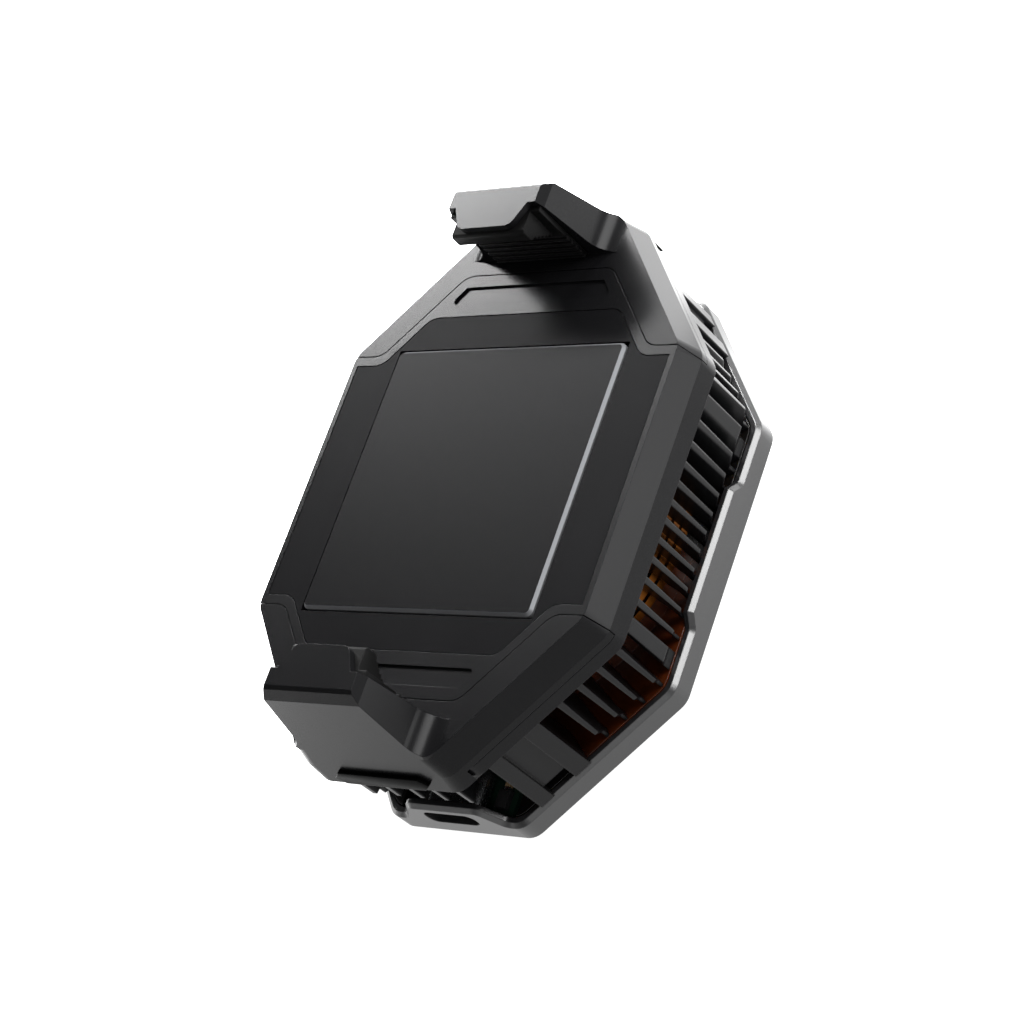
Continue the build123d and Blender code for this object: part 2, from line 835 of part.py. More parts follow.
# Pin on which a pinion turns, held in the guide plate and under the face of the frame
with BuildPart() as right_pinion_pin:
    pin_foot = guide_top - pin_seat
    extrude(discs_at(pin_foot, [(pinion_x, 0)], pin_radius), amount=plate_bottom - pin_foot)

with BuildPart() as left_pinion_pin:
    add(right_pinion_pin.part, rotation=(0, 0, 180))

# Return spring between a peg of the guide plate and the root of a jaw's outer leg
with BuildPart() as right_return_spring:
    spring_end = outer_root_y - slide_gap
    with BuildSketch(Plane.XZ.offset(-spring_start)):
        with Locations((pinion_x, guide_top + spring_lift + spring_radius)):
            Circle(spring_radius)
            Circle(spring_radius - spring_wire, mode=Mode.SUBTRACT)
    extrude(amount=spring_start - spring_end)

with BuildPart() as left_return_spring:
    add(right_return_spring.part, rotation=(0, 0, 180))

# Heat sink: a pedestal for the module, a flange, and a stack of cooling rings on pillars
with BuildPart() as heat_sink:
    extrude(slab(guide_bottom, pedestal_size, pedestal_size), amount=sink_top - guide_bottom)
    extrude(disc(sink_flange_bottom, sink_radius), amount=sink_flange)
    for index in range(disc_total):
        disc_bottom = disc_top - index * disc_pitch - disc_thickness
        extrude(disc(disc_bottom, sink_radius - disc_inset), amount=disc_thickness)
    with BuildSketch(Plane.XY.offset(sink_foot)):
        with PolarLocations(pillar_circle, pillar_total, start_angle=180 / pillar_total):
            Circle(pillar_radius)
    extrude(amount=sink_flange_bottom - sink_foot)
    extrude(disc(sink_foot, sink_bore), amount=disc_top - sink_foot, mode=Mode.SUBTRACT)
    screw_bottom = guide_top - sink_screw_length
    sink_bores = discs_at(screw_bottom, sink_screw_places, sink_screw_radius + bore_gap)
    extrude(sink_bores, amount=guide_bottom - screw_bottom, mode=Mode.SUBTRACT)

# Screw that holds the heat sink up against the guide plate
with BuildPart() as sink_screw:
    extrude(disc(guide_top - sink_screw_length, sink_screw_radius), amount=sink_screw_length)
    extrude(disc(guide_top, sink_screw_head_radius), amount=sink_screw_head_height)

# Fin ring: the outer form of the louvred cage, straight below its flange, drawn in at the foot
# and hollowed so that each fin is deep at the top and slim at the bottom
with BuildPart() as fin_ring:
    ring_outer = [
        case_outline(cage_underside, cage_inset, cage_reach),
        case_outline(fin_foot, cage_inset, cage_reach),
        case_outline(fin_ankle, fin_link_inset, cage_reach),
        case_outline(fin_base, fin_link_inset, cage_reach),
    ]
    loft(sections=ring_outer, ruled=True)
    ring_inner = [
        case_outline(cage_underside, cage_inset + fin_depth, cage_reach),
        case_outline(fin_toe, fin_link_inset + fin_link_width, cage_reach),
        case_outline(fin_base, fin_link_inset + fin_link_width, cage_reach),
    ]
    loft(sections=ring_inner, ruled=True, mode=Mode.SUBTRACT)
    extrude(disc(fin_base, cage_bore), amount=cage_underside - fin_base, mode=Mode.SUBTRACT)

# Directions of the fins in the first quarter, then in all four
side_angles = [fin_step * (index + 1 / 2) for index in range(side_fins)]
corner_angles = [post_angle + fin_step * (index + 1) for index in range(corner_fins)]
end_angles = [90 - end_fin_step * index for index in range(1, end_fins)]
quarter_angles = side_angles + corner_angles + end_angles
fin_angles = [90, 270]
for angle in quarter_angles:
    fin_angles += [angle, 180 - angle, 180 + angle, 360 - angle]

# Radial fins, cut to the form of the fin ring
with BuildPart() as radial_fins:
    with BuildSketch(Plane.XY.offset(cage_underside)):
        for angle in fin_angles:
            with PolarLocations((cage_bore + case_half_length) / 2, 1, start_angle=angle):
                Rectangle(case_half_length - cage_bore + 2 * overrun, fin_thickness)
    extrude(amount=fin_base - cage_underside, taper=fin_taper)
    add(fin_ring.part, mode=Mode.INTERSECT)

# Thick posts where the side walls end, with their outer corners bevelled
with BuildPart() as side_posts:
    post_face = (case_half_width - cage_inset) / cos(radians(post_angle))
    half_post = post_thickness / 2
    for angle in [post_angle, 180 - post_angle, 180 + post_angle, 360 - post_angle]:
        post_corners = [
            radial_place(angle, cage_bore, -half_post),
            radial_place(angle, post_face - post_chamfer, -half_post),
            radial_place(angle, post_face + overrun, post_chamfer - half_post),
            radial_place(angle, post_face + overrun, half_post - post_chamfer),
            radial_place(angle, post_face - post_chamfer, half_post),
            radial_place(angle, cage_bore, half_post),
        ]
        extrude(polygon(Plane.XY.offset(fin_base), post_corners), amount=cage_underside - fin_base)
    add(fin_ring.part, mode=Mode.INTERSECT)

# Screw blocks in the slanted walls: two posts with a recessed panel and a slot between them
with BuildPart() as screw_blocks:
    back = cage_inset + block_depth
    block_corners = [
        (block_near, cage_inset),
        (hatch_near, cage_inset),
        (hatch_near, cage_inset + hatch_depth),
        (hatch_far, cage_inset + hatch_depth),
        (hatch_far, cage_inset),
        (block_far, cage_inset),
        (block_far, back),
        (block_near, back),
    ]
    block_plane = Plane.XY.offset(cage_foot)
    block_outline = polygon(block_plane, [slanted_place(*corner) for corner in block_corners])
    extrude(block_outline, amount=cage_underside - cage_foot)
    slot_back = cage_inset + hatch_slot_depth
    slot_corners = [(hatch_near, 0), (hatch_far, 0), (hatch_far, slot_back), (hatch_near, slot_back)]
    hatch_slot = polygon(block_plane, [slanted_place(*corner) for corner in slot_corners])
    extrude(hatch_slot, amount=hatch_foot - cage_foot, mode=Mode.SUBTRACT)
    mirror(about=Plane.YZ)
    mirror(about=Plane.XZ)
    clear_of_guide = case_outline(cage_foot, rear_inset + rear_wall, cage_reach)
    extrude(clear_of_guide, amount=fin_base - cage_foot, mode=Mode.SUBTRACT)

# Vent cage: a flange that seats in the front frame, with all the fins, posts and screw blocks
with BuildPart() as vent_cage:
    extrude(case_outline(cage_underside, cage_inset, cage_reach), amount=cage_flange)
    extrude(case_outline(cage_top, spigot_inset, frame_reach), amount=spigot_height)
    cage_height = cage_top + spigot_height - cage_underside
    extrude(disc(cage_underside, cage_bore), amount=cage_height, mode=Mode.SUBTRACT)
    add(radial_fins.part)
    add(side_posts.part)
    add(screw_blocks.part)
    cage_holes = discs_at(cage_foot, screw_places, screw_clear)
    extrude(cage_holes, amount=cage_top + spigot_height - cage_foot, mode=Mode.SUBTRACT)
    wire_slot = slab(cage_underside, wire_slot_width, wire_slot_length, -wire_y)
    extrude(wire_slot, amount=cage_height, mode=Mode.SUBTRACT)
    bay = slab(fin_base, 2 * bay_half_width, 2 * (case_half_length - bay_fin_y), -case_half_length)
    extrude(bay, amount=bay_top - fin_base, mode=Mode.SUBTRACT)


def rise_outline(plane, half, run, height, head_round):
    """A stretch of the ring wall whose rim rises in the middle, with rounded heads and feet."""
    foot_half = half + run
    right_side = [
        (foot_half + rise_foot_round, rear_chamfer),
        (foot_half + rise_foot_round, rear_rim),
        (foot_half, rear_rim),
        (half, rear_rim + height),
    ]
    with BuildSketch(plane, mode=Mode.PRIVATE) as rise:
        with BuildLine():
            Polyline(*right_side, *[(-x, z) for x, z in reversed(right_side)], close=True)
        make_face()
        fillet([v for v in rise.vertices() if abs(abs(v.X) - half) < seam_gap], head_round)
        fillet([v for v in rise.vertices() if abs(abs(v.X) - foot_half) < seam_gap], rise_foot_round)
    return rise.sketch


def on_outline(place, outline):
    """Whether a place lies straight above or below an outline that is drawn at height 0."""
    return outline.wire().distance_to(Vector(place.X, place.Y, 0)) < seam_gap


# Rear frame: a low chamfered ring whose rim rises in the middle of each side wall
# and round the power socket, with a plate inside
with BuildPart() as rear_frame:
    rear_foot = case_outline(0, rear_inset + rear_chamfer, cage_reach)
    loft(sections=[rear_foot, case_outline(rear_chamfer, rear_inset, cage_reach)], ruled=True)
    extrude(case_outline(rear_chamfer, rear_inset, cage_reach), amount=rear_rim - rear_chamfer)
    hollow = case_outline(rear_plate_top, rear_inset + rear_wall, cage_reach)
    extrude(hollow, amount=rear_rim - rear_plate_top, mode=Mode.SUBTRACT)
    for side in (1, -1):
        side_plane = Plane.YZ.offset(side * (case_half_width - rear_inset))
        side_wall = rise_outline(side_plane, side_rise_half, side_rise_run, side_rise, side_rise_round)
        extrude(side_wall, amount=-side * rear_wall)
    port_plane = Plane.XZ.offset(rear_inner_y)
    port_wall = rise_outline(port_plane, port_rise_half, port_rise_run, port_rise, port_rise_round)
    extrude(port_wall, amount=rear_wall)
    rim_line = case_outline(0, rear_inset, cage_reach)
    rim_edges = [
        edge
        for edge in rear_frame.edges()
        if (edge @ 0.5).Z > rear_rim - seam_gap and on_outline(edge @ 0.5, rim_line)
    ]
    chamfer(rim_edges, rim_chamfer)
    with BuildSketch(port_plane):
        with Locations((0, port_middle)):
            RectangleRounded(port_width, port_height, port_round)
    extrude(amount=rear_wall, mode=Mode.SUBTRACT)
    extrude(case_outline(0, cover_seat_inset, cage_reach), amount=rear_seat, mode=Mode.SUBTRACT)
    extrude(disc(rear_seat, rear_bore), amount=rear_plate, mode=Mode.SUBTRACT)
    extrude(discs_at(rear_seat, screw_places, screw_clear), amount=rear_plate, mode=Mode.SUBTRACT)
    head_recess = discs_at(rear_seat, screw_places, screw_head_radius + seat_gap)
    extrude(head_recess, amount=screw_head_height, mode=Mode.SUBTRACT)

# Air guide: a shallow tray inside the rear frame with the round duct of the fan
with BuildPart() as air_guide:
    tray_height = air_guide_top - rear_plate_top
    duct_height = duct_top - rear_plate_top
    extrude(case_outline(rear_plate_top, guide_inset, cage_reach), amount=tray_height)
    tray_hollow = case_outline(rear_plate_top, guide_inset + air_guide_skirt, cage_reach)
    extrude(tray_hollow, amount=tray_height - air_guide_skin, mode=Mode.SUBTRACT)
    extrude(discs_at(rear_plate_top, screw_places, tube_radius), amount=tray_height)
    extrude(disc(rear_plate_top, duct_radius + duct_wall), amount=duct_height)
    extrude(disc(rear_plate_top, duct_radius), amount=duct_height, mode=Mode.SUBTRACT)
    extrude(discs_at(rear_plate_top, screw_places, screw_clear), amount=tray_height, mode=Mode.SUBTRACT)
    bay_length = 2 * (case_half_length - bay_near_y)
    board_bay = slab(rear_plate_top, 2 * bay_half_width, bay_length, -case_half_length)
    extrude(board_bay, amount=duct_height, mode=Mode.SUBTRACT)

# Circuit board under the power socket
with BuildPart() as circuit_board:
    with BuildSketch(Plane.XY.offset(rear_plate_top)):
        with Locations((0, -board_y)):
            RectangleRounded(board_width, board_length, board_corner)
    extrude(amount=board_thickness)

with BuildPart() as board_chips:
    with BuildSketch(Plane.XY.offset(board_top)):
        with Locations((0, -board_y)):
            with GridLocations(2 * chip_spread_x, 2 * chip_spread_y, 2, 2):
                Rectangle(chip_width, chip_length)
    extrude(amount=chip_height)

# Power socket: a drawn shell with a tongue inside
with BuildPart() as usb_socket:
    socket_front = rear_inner_y - bore_gap
    with BuildSketch(Plane.XZ.offset(socket_front)):
        with Locations((0, port_middle)):
            RectangleRounded(socket_width, socket_height, socket_round)
    extrude(amount=-socket_length)
    with BuildSketch(Plane.XZ.offset(socket_front)):
        with Locations((0, port_middle)):
            inner_width = socket_width - 2 * socket_wall
            inner_height = socket_height - 2 * socket_wall
            RectangleRounded(inner_width, inner_height, socket_round - socket_wall)
    extrude(amount=socket_back - socket_length, mode=Mode.SUBTRACT)
    with BuildSketch(Plane.XZ.offset(socket_front - tongue_short)):
        with Locations((0, port_middle)):
            Rectangle(tongue_width, tongue_thickness)
    extrude(amount=tongue_short + socket_back / 2 - socket_length)


def module_wire(side):
    """A wire of the cooling module, from the circuit board up and in to the module's edge."""
    module_edge = module_size / 2 + bore_gap
    with BuildPart(mode=Mode.PRIVATE) as wire:
        with BuildLine(Plane.YZ.offset(side * wire_spread)) as route:
            FilletPolyline(
                (-wire_y, board_top),
                (-wire_y, wire_level),
                (-module_edge, wire_level),
                radius=wire_bend,
            )
        with BuildSketch(Plane.XY.offset(board_top)):
            with Locations((side * wire_spread, -wire_y)):
                Circle(wire_radius)
        sweep(path=route.wire())
    return wire.part


with BuildPart() as red_module_wire:
    add(module_wire(1))

with BuildPart() as black_module_wire:
    add(module_wire(-1))

# Fan cover: the rear panel with a round grille, and the tube that carries the motor
with BuildPart() as fan_cover:
    cover_thickness = rear_seat - bore_gap - cover_bottom
    extrude(case_outline(cover_bottom, cover_inset, cage_reach), amount=cover_thickness)
    extrude(disc(cover_bottom, grille_radius), amount=cover_thickness, mode=Mode.SUBTRACT)
    with BuildSketch(Plane.XY.offset(cover_bottom)):
        ring_pitch = (grille_radius - hub_disc_radius) / (grille_rings + 1)
        for index in reversed(range(grille_rings)):
            ring_radius = hub_disc_radius + (index + 1) * ring_pitch
            Circle(ring_radius + grille_ring_width / 2)
            Circle(ring_radius - grille_ring_width / 2, mode=Mode.SUBTRACT)
        Circle(hub_disc_radius)
        with PolarLocations((hub_disc_radius + grille_radius) / 2, spoke_total):
            Rectangle(grille_radius - hub_disc_radius + overrun, spoke_width)
    extrude(amount=cover_thickness)
    extrude(disc(cover_bottom, bearing_tube_radius), amount=tube_top - cover_bottom)
    extrude(disc(bearing_bottom, bearing_radius + bore_gap), amount=bearing_height, mode=Mode.SUBTRACT)

# Sleeve bearing in the tube of the cover
with BuildPart() as motor_bearing:
    extrude(disc(bearing_bottom, bearing_radius), amount=bearing_height)
    extrude(disc(bearing_bottom, shaft_radius + bore_gap), amount=bearing_height, mode=Mode.SUBTRACT)

# Stator: six poles with wide tips round the bearing tube
with BuildPart() as motor_stator:
    with BuildSketch(Plane.XY.offset(stator_bottom)):
        Circle(stator_radius)
        Circle(stator_radius - pole_tip, mode=Mode.SUBTRACT)
        with PolarLocations(stator_radius, stator_poles, start_angle=180 / stator_poles):
            Rectangle(2 * pole_tip + overrun, pole_slot, mode=Mode.SUBTRACT)
        Circle(stator_core_radius)
        pole_length = stator_radius - stator_core_radius
        with PolarLocations((stator_radius + stator_core_radius - pole_tip) / 2, stator_poles):
            Rectangle(pole_length, pole_width)
        Circle(bearing_tube_radius + bore_gap, mode=Mode.SUBTRACT)
    extrude(amount=stator_height)

# Shaft in the bearing and in the hub of the fan
with BuildPart() as fan_shaft:
    extrude(disc(bearing_bottom + seat_gap, shaft_radius), amount=shaft_length)

# Ring magnet inside the hub
with BuildPart() as rotor_magnet:
    magnet_bottom = hub_bottom + seat_gap
    extrude(disc(magnet_bottom, magnet_radius), amount=magnet_height)
    extrude(disc(magnet_bottom, magnet_radius - magnet_thickness), amount=magnet_height, mode=Mode.SUBTRACT)


def blade_section(radius, chord, pitch):
    """A bowed blade section, square to the ray along X, at one distance from the axis."""
    plane = Plane(origin=(radius, 0, blade_middle), x_dir=(0, 1, 0), z_dir=(1, 0, 0))
    with BuildSketch(plane.rotated((0, 0, pitch)), mode=Mode.PRIVATE) as section:
        with BuildLine():
            ThreePointArc((-chord / 2, 0), (0, blade_bow), (chord / 2, 0))
            ThreePointArc((chord / 2, 0), (0, blade_bow - blade_thickness), (-chord / 2, 0))
        make_face()
    return section.sketch


# One fan blade, bowed along its chord and flatter towards its tip
with BuildPart() as blade:
    blade_root = blade_section(hub_radius - blade_sink, blade_root_chord, blade_root_pitch)
    blade_tip = blade_section(fan_radius + overrun, blade_tip_chord, blade_tip_pitch)
    loft(sections=[blade_root, blade_tip])
    extrude(disc(blade_bottom, fan_radius), amount=blade_top - blade_bottom, mode=Mode.INTERSECT)

# Impeller: seven blades round a hub that is hollow for the motor
with BuildPart() as impeller:
    extrude(disc(hub_bottom, hub_radius), amount=hub_top - hub_bottom)
    fillet(impeller.edges().sort_by(Axis.Z)[-1], hub_round)
    with PolarLocations(0, blade_total):
        add(blade.part)
    hub_ceiling = hub_top - hub_wall
    extrude(disc(hub_bottom, hub_radius - hub_wall), amount=hub_ceiling - hub_bottom, mode=Mode.SUBTRACT)
    boss_bottom = hub_ceiling - hub_boss_drop
    extrude(disc(boss_bottom, hub_boss_radius), amount=hub_boss_drop)
    bore_top = bearing_bottom + seat_gap + shaft_length + bore_gap
    extrude(disc(boss_bottom, shaft_radius + bore_gap), amount=bore_top - boss_bottom, mode=Mode.SUBTRACT)

# Case screw from the rear frame up into a boss of the front frame
with BuildPart() as case_screw:
    extrude(disc(rear_seat, screw_head_radius), amount=screw_head_height)
    screw_top = plate_bottom - screw_end_gap - seat_gap
    extrude(disc(rear_seat, screw_radius), amount=screw_top - rear_seat)

pieces = {
    "front_frame": front_frame.part,
    "contact_panel": contact_panel.part,
    "cold_plate": cold_plate.part,
    "peltier_module": peltier_module.part,
    "insulation_gasket": insulation_gasket.part,
    "guide_plate": guide_plate.part,
    "upper_jaw": upper_jaw.part,
    "lower_jaw": lower_jaw.part,
    "upper_finger_bar": upper_finger_bar.part,
    "lower_finger_bar": lower_finger_bar.part,
    "upper_grip": upper_grip.part,
    "lower_grip": lower_grip.part,
    "right_pinion": right_pinion.part,
    "left_pinion": left_pinion.part,
    "right_pinion_pin": right_pinion_pin.part,
    "left_pinion_pin": left_pinion_pin.part,
    "right_return_spring": right_return_spring.part,
    "left_return_spring": left_return_spring.part,
    "heat_sink": heat_sink.part,
    "vent_cage": vent_cage.part,
    "rear_frame": rear_frame.part,
    "air_guide": air_guide.part,
    "circuit_board": circuit_board.part,
    "board_chips": board_chips.part,
    "usb_socket": usb_socket.part,
    "red_module_wire": red_module_wire.part,
    "black_module_wire": black_module_wire.part,
    "fan_cover": fan_cover.part,
    "motor_bearing": motor_bearing.part,
    "motor_stator": motor_stator.part,
    "fan_shaft": fan_shaft.part,
    "rotor_magnet": rotor_magnet.part,
    "impeller": impeller.part,
}

# The four case screws and the four heat sink screws, each a piece of its own
for name, screw, places in (
    ("case_screw", case_screw, screw_places),
    ("sink_screw", sink_screw, sink_screw_places),
):
    for index, (screw_x, screw_y) in enumerate(places):
        with BuildPart() as placed_screw:
            with Locations((screw_x, screw_y, 0)):
                add(screw.part)
        pieces[f"{name}_{index + 1}"] = placed_screw.part

os.makedirs("parts", exist_ok=True)
for name, piece in pieces.items():
    piece.label = name
    export_step(piece, f"parts/{name}.step")
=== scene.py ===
# %% [markdown]
# A clip-on phone cooler, dressed for its portrait.
# The solid model comes in as a frame of named pieces, each already in its place.
# This lesson gives every piece its finish, models the small soft, wound and gilded parts by hand,
# and lights the whole like a small product on a light table.

from math import pi, radians

import bpy
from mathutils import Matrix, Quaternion, Vector


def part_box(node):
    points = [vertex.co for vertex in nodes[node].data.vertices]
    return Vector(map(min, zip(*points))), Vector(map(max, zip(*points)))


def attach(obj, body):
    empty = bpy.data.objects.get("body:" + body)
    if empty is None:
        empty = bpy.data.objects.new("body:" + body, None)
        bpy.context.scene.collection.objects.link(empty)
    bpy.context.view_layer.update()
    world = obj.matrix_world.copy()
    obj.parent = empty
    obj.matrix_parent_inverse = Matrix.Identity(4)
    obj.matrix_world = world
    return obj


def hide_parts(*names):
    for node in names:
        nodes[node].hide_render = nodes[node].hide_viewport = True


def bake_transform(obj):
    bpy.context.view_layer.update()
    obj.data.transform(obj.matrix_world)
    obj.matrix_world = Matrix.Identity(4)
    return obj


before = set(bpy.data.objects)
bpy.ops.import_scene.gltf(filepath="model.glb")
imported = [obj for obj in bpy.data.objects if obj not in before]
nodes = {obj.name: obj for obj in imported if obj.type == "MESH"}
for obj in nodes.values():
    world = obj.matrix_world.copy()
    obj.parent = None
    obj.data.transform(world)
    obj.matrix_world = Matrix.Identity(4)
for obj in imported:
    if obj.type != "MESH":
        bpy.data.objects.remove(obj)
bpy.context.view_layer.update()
millimetre = 0.001
print("pieces in the frame:", len(nodes))

# %% [markdown]
# Colours are written the way a picture shows them, in sRGB hex.
# A renderer counts light, so each is turned into linear values once, by one function.

# %% Colours


def linear(hex_colour):
    """An sRGB hex colour as linear red, green, blue and alpha."""
    channels = []
    for start in (0, 2, 4):
        value = int(hex_colour[start : start + 2], 16) / 255
        channels.append(value / 12.92 if value <= 0.04045 else ((value + 0.055) / 1.055) ** 2.4)
    return (*channels, 1.0)


print("mid grey is", round(linear("808080")[0], 3), "of full light")

# %% [markdown]
# A finish is a small tree of shader nodes. One function adds a node, sets its constants, and links
# it both ways, so that a finish reads as a short list of what it is made of.
# Every input is named by its socket: a number or colour is set there, and a socket is linked.

# %% One function for every node


def add_node(owner, kind, inputs, feeds=None, **properties):
    """A node with inputs from constants or sockets, and outputs that feed other sockets."""
    node = owner.node_tree.nodes.new(kind)
    for name, value in properties.items():
        setattr(node, name, value)
    for name, value in inputs.items():
        if isinstance(value, bpy.types.NodeSocket):
            owner.node_tree.links.new(value, node.inputs[name])
        else:
            node.inputs[name].default_value = value
    for name, socket in (feeds or {}).items():
        owner.node_tree.links.new(node.outputs[name], socket)
    return node


print("ready:", add_node.__name__)

# %% [markdown]
# Nearly every finish here starts alike: one principled shader whose edges look a little round.
# Real mouldings and castings never have a razor edge, and that thin line of light along each edge
# is what makes a small product look real.
# Gleam is the share of the usual reflection. Most plastics keep 0.5, which means an IOR of 1.5, and
# a soft satin coating that swallows light has far less.

# %% A shader with round edges
coat_roughness = 0.2
edge_samples = 6


def new_finish(name, hex_colour, roughness, metallic=0.0, rounding=0.12, coat=0.0, gleam=0.5):
    """A principled finish whose edges look rounded by so many millimetres."""
    material = bpy.data.materials.new(name)
    material.use_nodes = True
    shader = material.node_tree.nodes["Principled BSDF"]
    constants = {
        "Base Color": linear(hex_colour),
        "Roughness": roughness,
        "Metallic": metallic,
        "Specular IOR Level": gleam,
        "Coat Weight": coat,
        "Coat Roughness": coat_roughness,
    }
    for socket, value in constants.items():
        shader.inputs[socket].default_value = value
    edge = add_node(
        material,
        "ShaderNodeBevel",
        {"Radius": rounding * millimetre},
        {"Normal": shader.inputs["Normal"]},
        samples=edge_samples,
    )
    return material, shader, edge


def object_place(material, stretch=(1, 1, 1)):
    """Object coordinates, squeezed along an axis that a grain runs across."""
    place = add_node(material, "ShaderNodeTexCoord", {})
    mapping = add_node(
        material, "ShaderNodeMapping", {"Vector": place.outputs["Object"], "Scale": stretch}
    )
    return mapping.outputs["Vector"]


print("ready:", new_finish.__name__, object_place.__name__)

# %% [markdown]
# A plain shader looks like a drawing. Three things make it a surface: a raised grain, a sheen that
# wanders over patches, and a base colour that isn't quite the same everywhere.
# Their sizes are in millimetres. A pixel of the portrait is about 0.14 mm wide on the cooler, so a
# finer grain is felt as a softer highlight and not seen as dots.

# %% Grain, sheen and shade
grain_detail = 3.0
patch_detail = 4.0


def grain(material, shader, edge, place, size, depth):
    """Raised grain: size is its width and depth its height, both in millimetres."""
    noise = add_node(
        material,
        "ShaderNodeTexNoise",
        {"Vector": place, "Scale": 1 / (size * millimetre), "Detail": grain_detail},
    )
    add_node(
        material,
        "ShaderNodeBump",
        {
            "Strength": 1.0,
            "Distance": depth * millimetre,
            "Height": noise.outputs["Fac"],
            "Normal": edge.outputs["Normal"],
        },
        {"Normal": shader.inputs["Normal"]},
    )


def uneven(material, shader, place, size, low, high):
    """Roughness that wanders gently between low and high over patches of a size in millimetres."""
    patches = add_node(
        material,
        "ShaderNodeTexNoise",
        {"Vector": place, "Scale": 1 / (size * millimetre), "Detail": patch_detail},
    )
    add_node(
        material,
        "ShaderNodeMapRange",
        {"Value": patches.outputs["Fac"], "To Min": low, "To Max": high},
        {"Result": shader.inputs["Roughness"]},
    )
    return patches.outputs["Fac"]


def two_tone(material, shader, value, first, second, low=0.35, high=0.65):
    """Base colour that passes from one shade to another as a value rises."""
    ramp = add_node(
        material, "ShaderNodeValToRGB", {"Fac": value}, {"Color": shader.inputs["Base Color"]}
    )
    for element, position, shade in zip(ramp.color_ramp.elements, (low, high), (first, second)):
        element.position = position
        element.color = linear(shade)


print("ready:", grain.__name__, uneven.__name__, two_tone.__name__)

# %% [markdown]
# The housing is a glass-filled nylon moulding with a soft-touch satin skin, nearly black. Its broad
# faces catch the light in a smooth gradient, so the grain has to stay too small to sparkle.
# The mould was spark-eroded to a fine matt: real grain is about 0.03 mm and is drawn three times as
# coarse, so that it can just be felt.
# The louvred cage is polypropylene from a smoother mould. Its fins are thin, so their rounding is
# wide, and each fin shows a bright crest between dark sides.

# %% Moulded plastics


def moulded_satin(name, first, second, low, high, rounding, gleam=0.105):
    """Satin moulded plastic with a fine grain and a slightly uneven sheen."""
    material, shader, edge = new_finish(name, first, low, rounding=rounding, gleam=gleam)
    place = object_place(material)
    patches = uneven(material, shader, place, size=9.0, low=low, high=high)
    two_tone(material, shader, patches, first, second)
    grain(material, shader, edge, place, size=0.09, depth=0.0012)
    return material


housing = moulded_satin("black_satin_nylon", "0c0c0d", "0e0e0f", 0.24, 0.27, rounding=0.08)
cage = moulded_satin(
    "black_polypropylene", "080809", "0b0b0c", 0.28, 0.33, rounding=0.36, gleam=0.2
)
inner = moulded_satin("inner_nylon", "161617", "1a1a1c", 0.45, 0.55, rounding=0.1)
cover = moulded_satin("rear_cover_abs", "17171a", "1b1b1d", 0.38, 0.45, rounding=0.12)
print("moulded plastics: 4")

# %% [markdown]
# The contact panel is a matt polyester film let into the face, a shade darker than the housing.
# Its embossing is real at 0.05 mm and shows only as a broad, quiet highlight.
# The cold plate is milled aluminium. Its flat is bead-blasted and anodised black, with pits of
# about 0.04 mm that are drawn three times as coarse. Its chamfer is cut afterwards and left bare,
# so it is bright where it meets the light and grey elsewhere.
# The shader tells the two apart by the direction a face looks in: the flat looks straight up.

# %% Panel film and anodised plate


def film_finish():
    """Matt film that reflects very little."""
    material, shader, edge = new_finish(
        "polyester_film", "0c0c0d", 0.36, rounding=0.06, gleam=0.0175
    )
    place = object_place(material)
    patches = uneven(material, shader, place, size=14.0, low=0.34, high=0.37)
    two_tone(material, shader, patches, "0c0c0d", "0e0e0f")
    grain(material, shader, edge, place, size=0.05, depth=0.0006)
    return material


def plate_finish():
    """Black anodised flat, and a bare cut on every face that looks less than straight up."""
    material, shader, edge = new_finish(
        "anodised_aluminium", "0c0c0d", 0.34, rounding=0.05, gleam=0.031
    )
    place = object_place(material, (1, 9, 1))
    uneven(material, shader, place, size=7.0, low=0.325, high=0.345)
    facing = add_node(material, "ShaderNodeTexCoord", {})
    split = add_node(material, "ShaderNodeSeparateXYZ", {"Vector": facing.outputs["Normal"]})
    upward = split.outputs["Z"]
    cut_end, flat_start = 0.8, 0.97
    cut_metal, flat_metal = 0.2, 0.0
    two_tone(material, shader, upward, "57585a", "0c0c0d", cut_end, flat_start)
    add_node(
        material,
        "ShaderNodeMapRange",
        {
            "Value": upward,
            "From Min": cut_end,
            "From Max": flat_start,
            "To Min": cut_metal,
            "To Max": flat_metal,
        },
        {"Result": shader.inputs["Metallic"]},
    )
    grain(material, shader, edge, place, size=0.12, depth=0.0004)
    return material


film = film_finish()
plate = plate_finish()
print("face finishes: 2")

# %% [markdown]
# Silicone rubber is nearly black and scatters what little light it gets, with a faint dusty bloom.
# Its mould leaves a skin of 0.02 mm, which is drawn three times as coarse.
# The finger bars beside it are polished polycarbonate, black and hard, with a slight moulding wave
# of about 0.6 mm.

# %% Rubber and gloss


def rubber_finish():
    """Soft black rubber with a bloom."""
    material, shader, edge = new_finish("black_silicone", "060606", 0.5, rounding=0.14, gleam=0.06)
    shader.inputs["Sheen Weight"].default_value = 0.01
    shader.inputs["Sheen Roughness"].default_value = 0.5
    place = object_place(material)
    patches = uneven(material, shader, place, size=3.0, low=0.45, high=0.55)
    two_tone(material, shader, patches, "060606", "080808")
    grain(material, shader, edge, place, size=0.06, depth=0.002)
    return material


def gloss_finish():
    """Hard black plastic with long soft waves."""
    material, shader, edge = new_finish(
        "polished_polycarbonate", "050505", 0.3, rounding=0.15, gleam=0.02
    )
    place = object_place(material)
    uneven(material, shader, place, size=4.0, low=0.26, high=0.34)
    grain(material, shader, edge, place, size=0.6, depth=0.0008)
    return material


rubber = rubber_finish()
gloss = gloss_finish()
print("grip and bar finishes: 2")

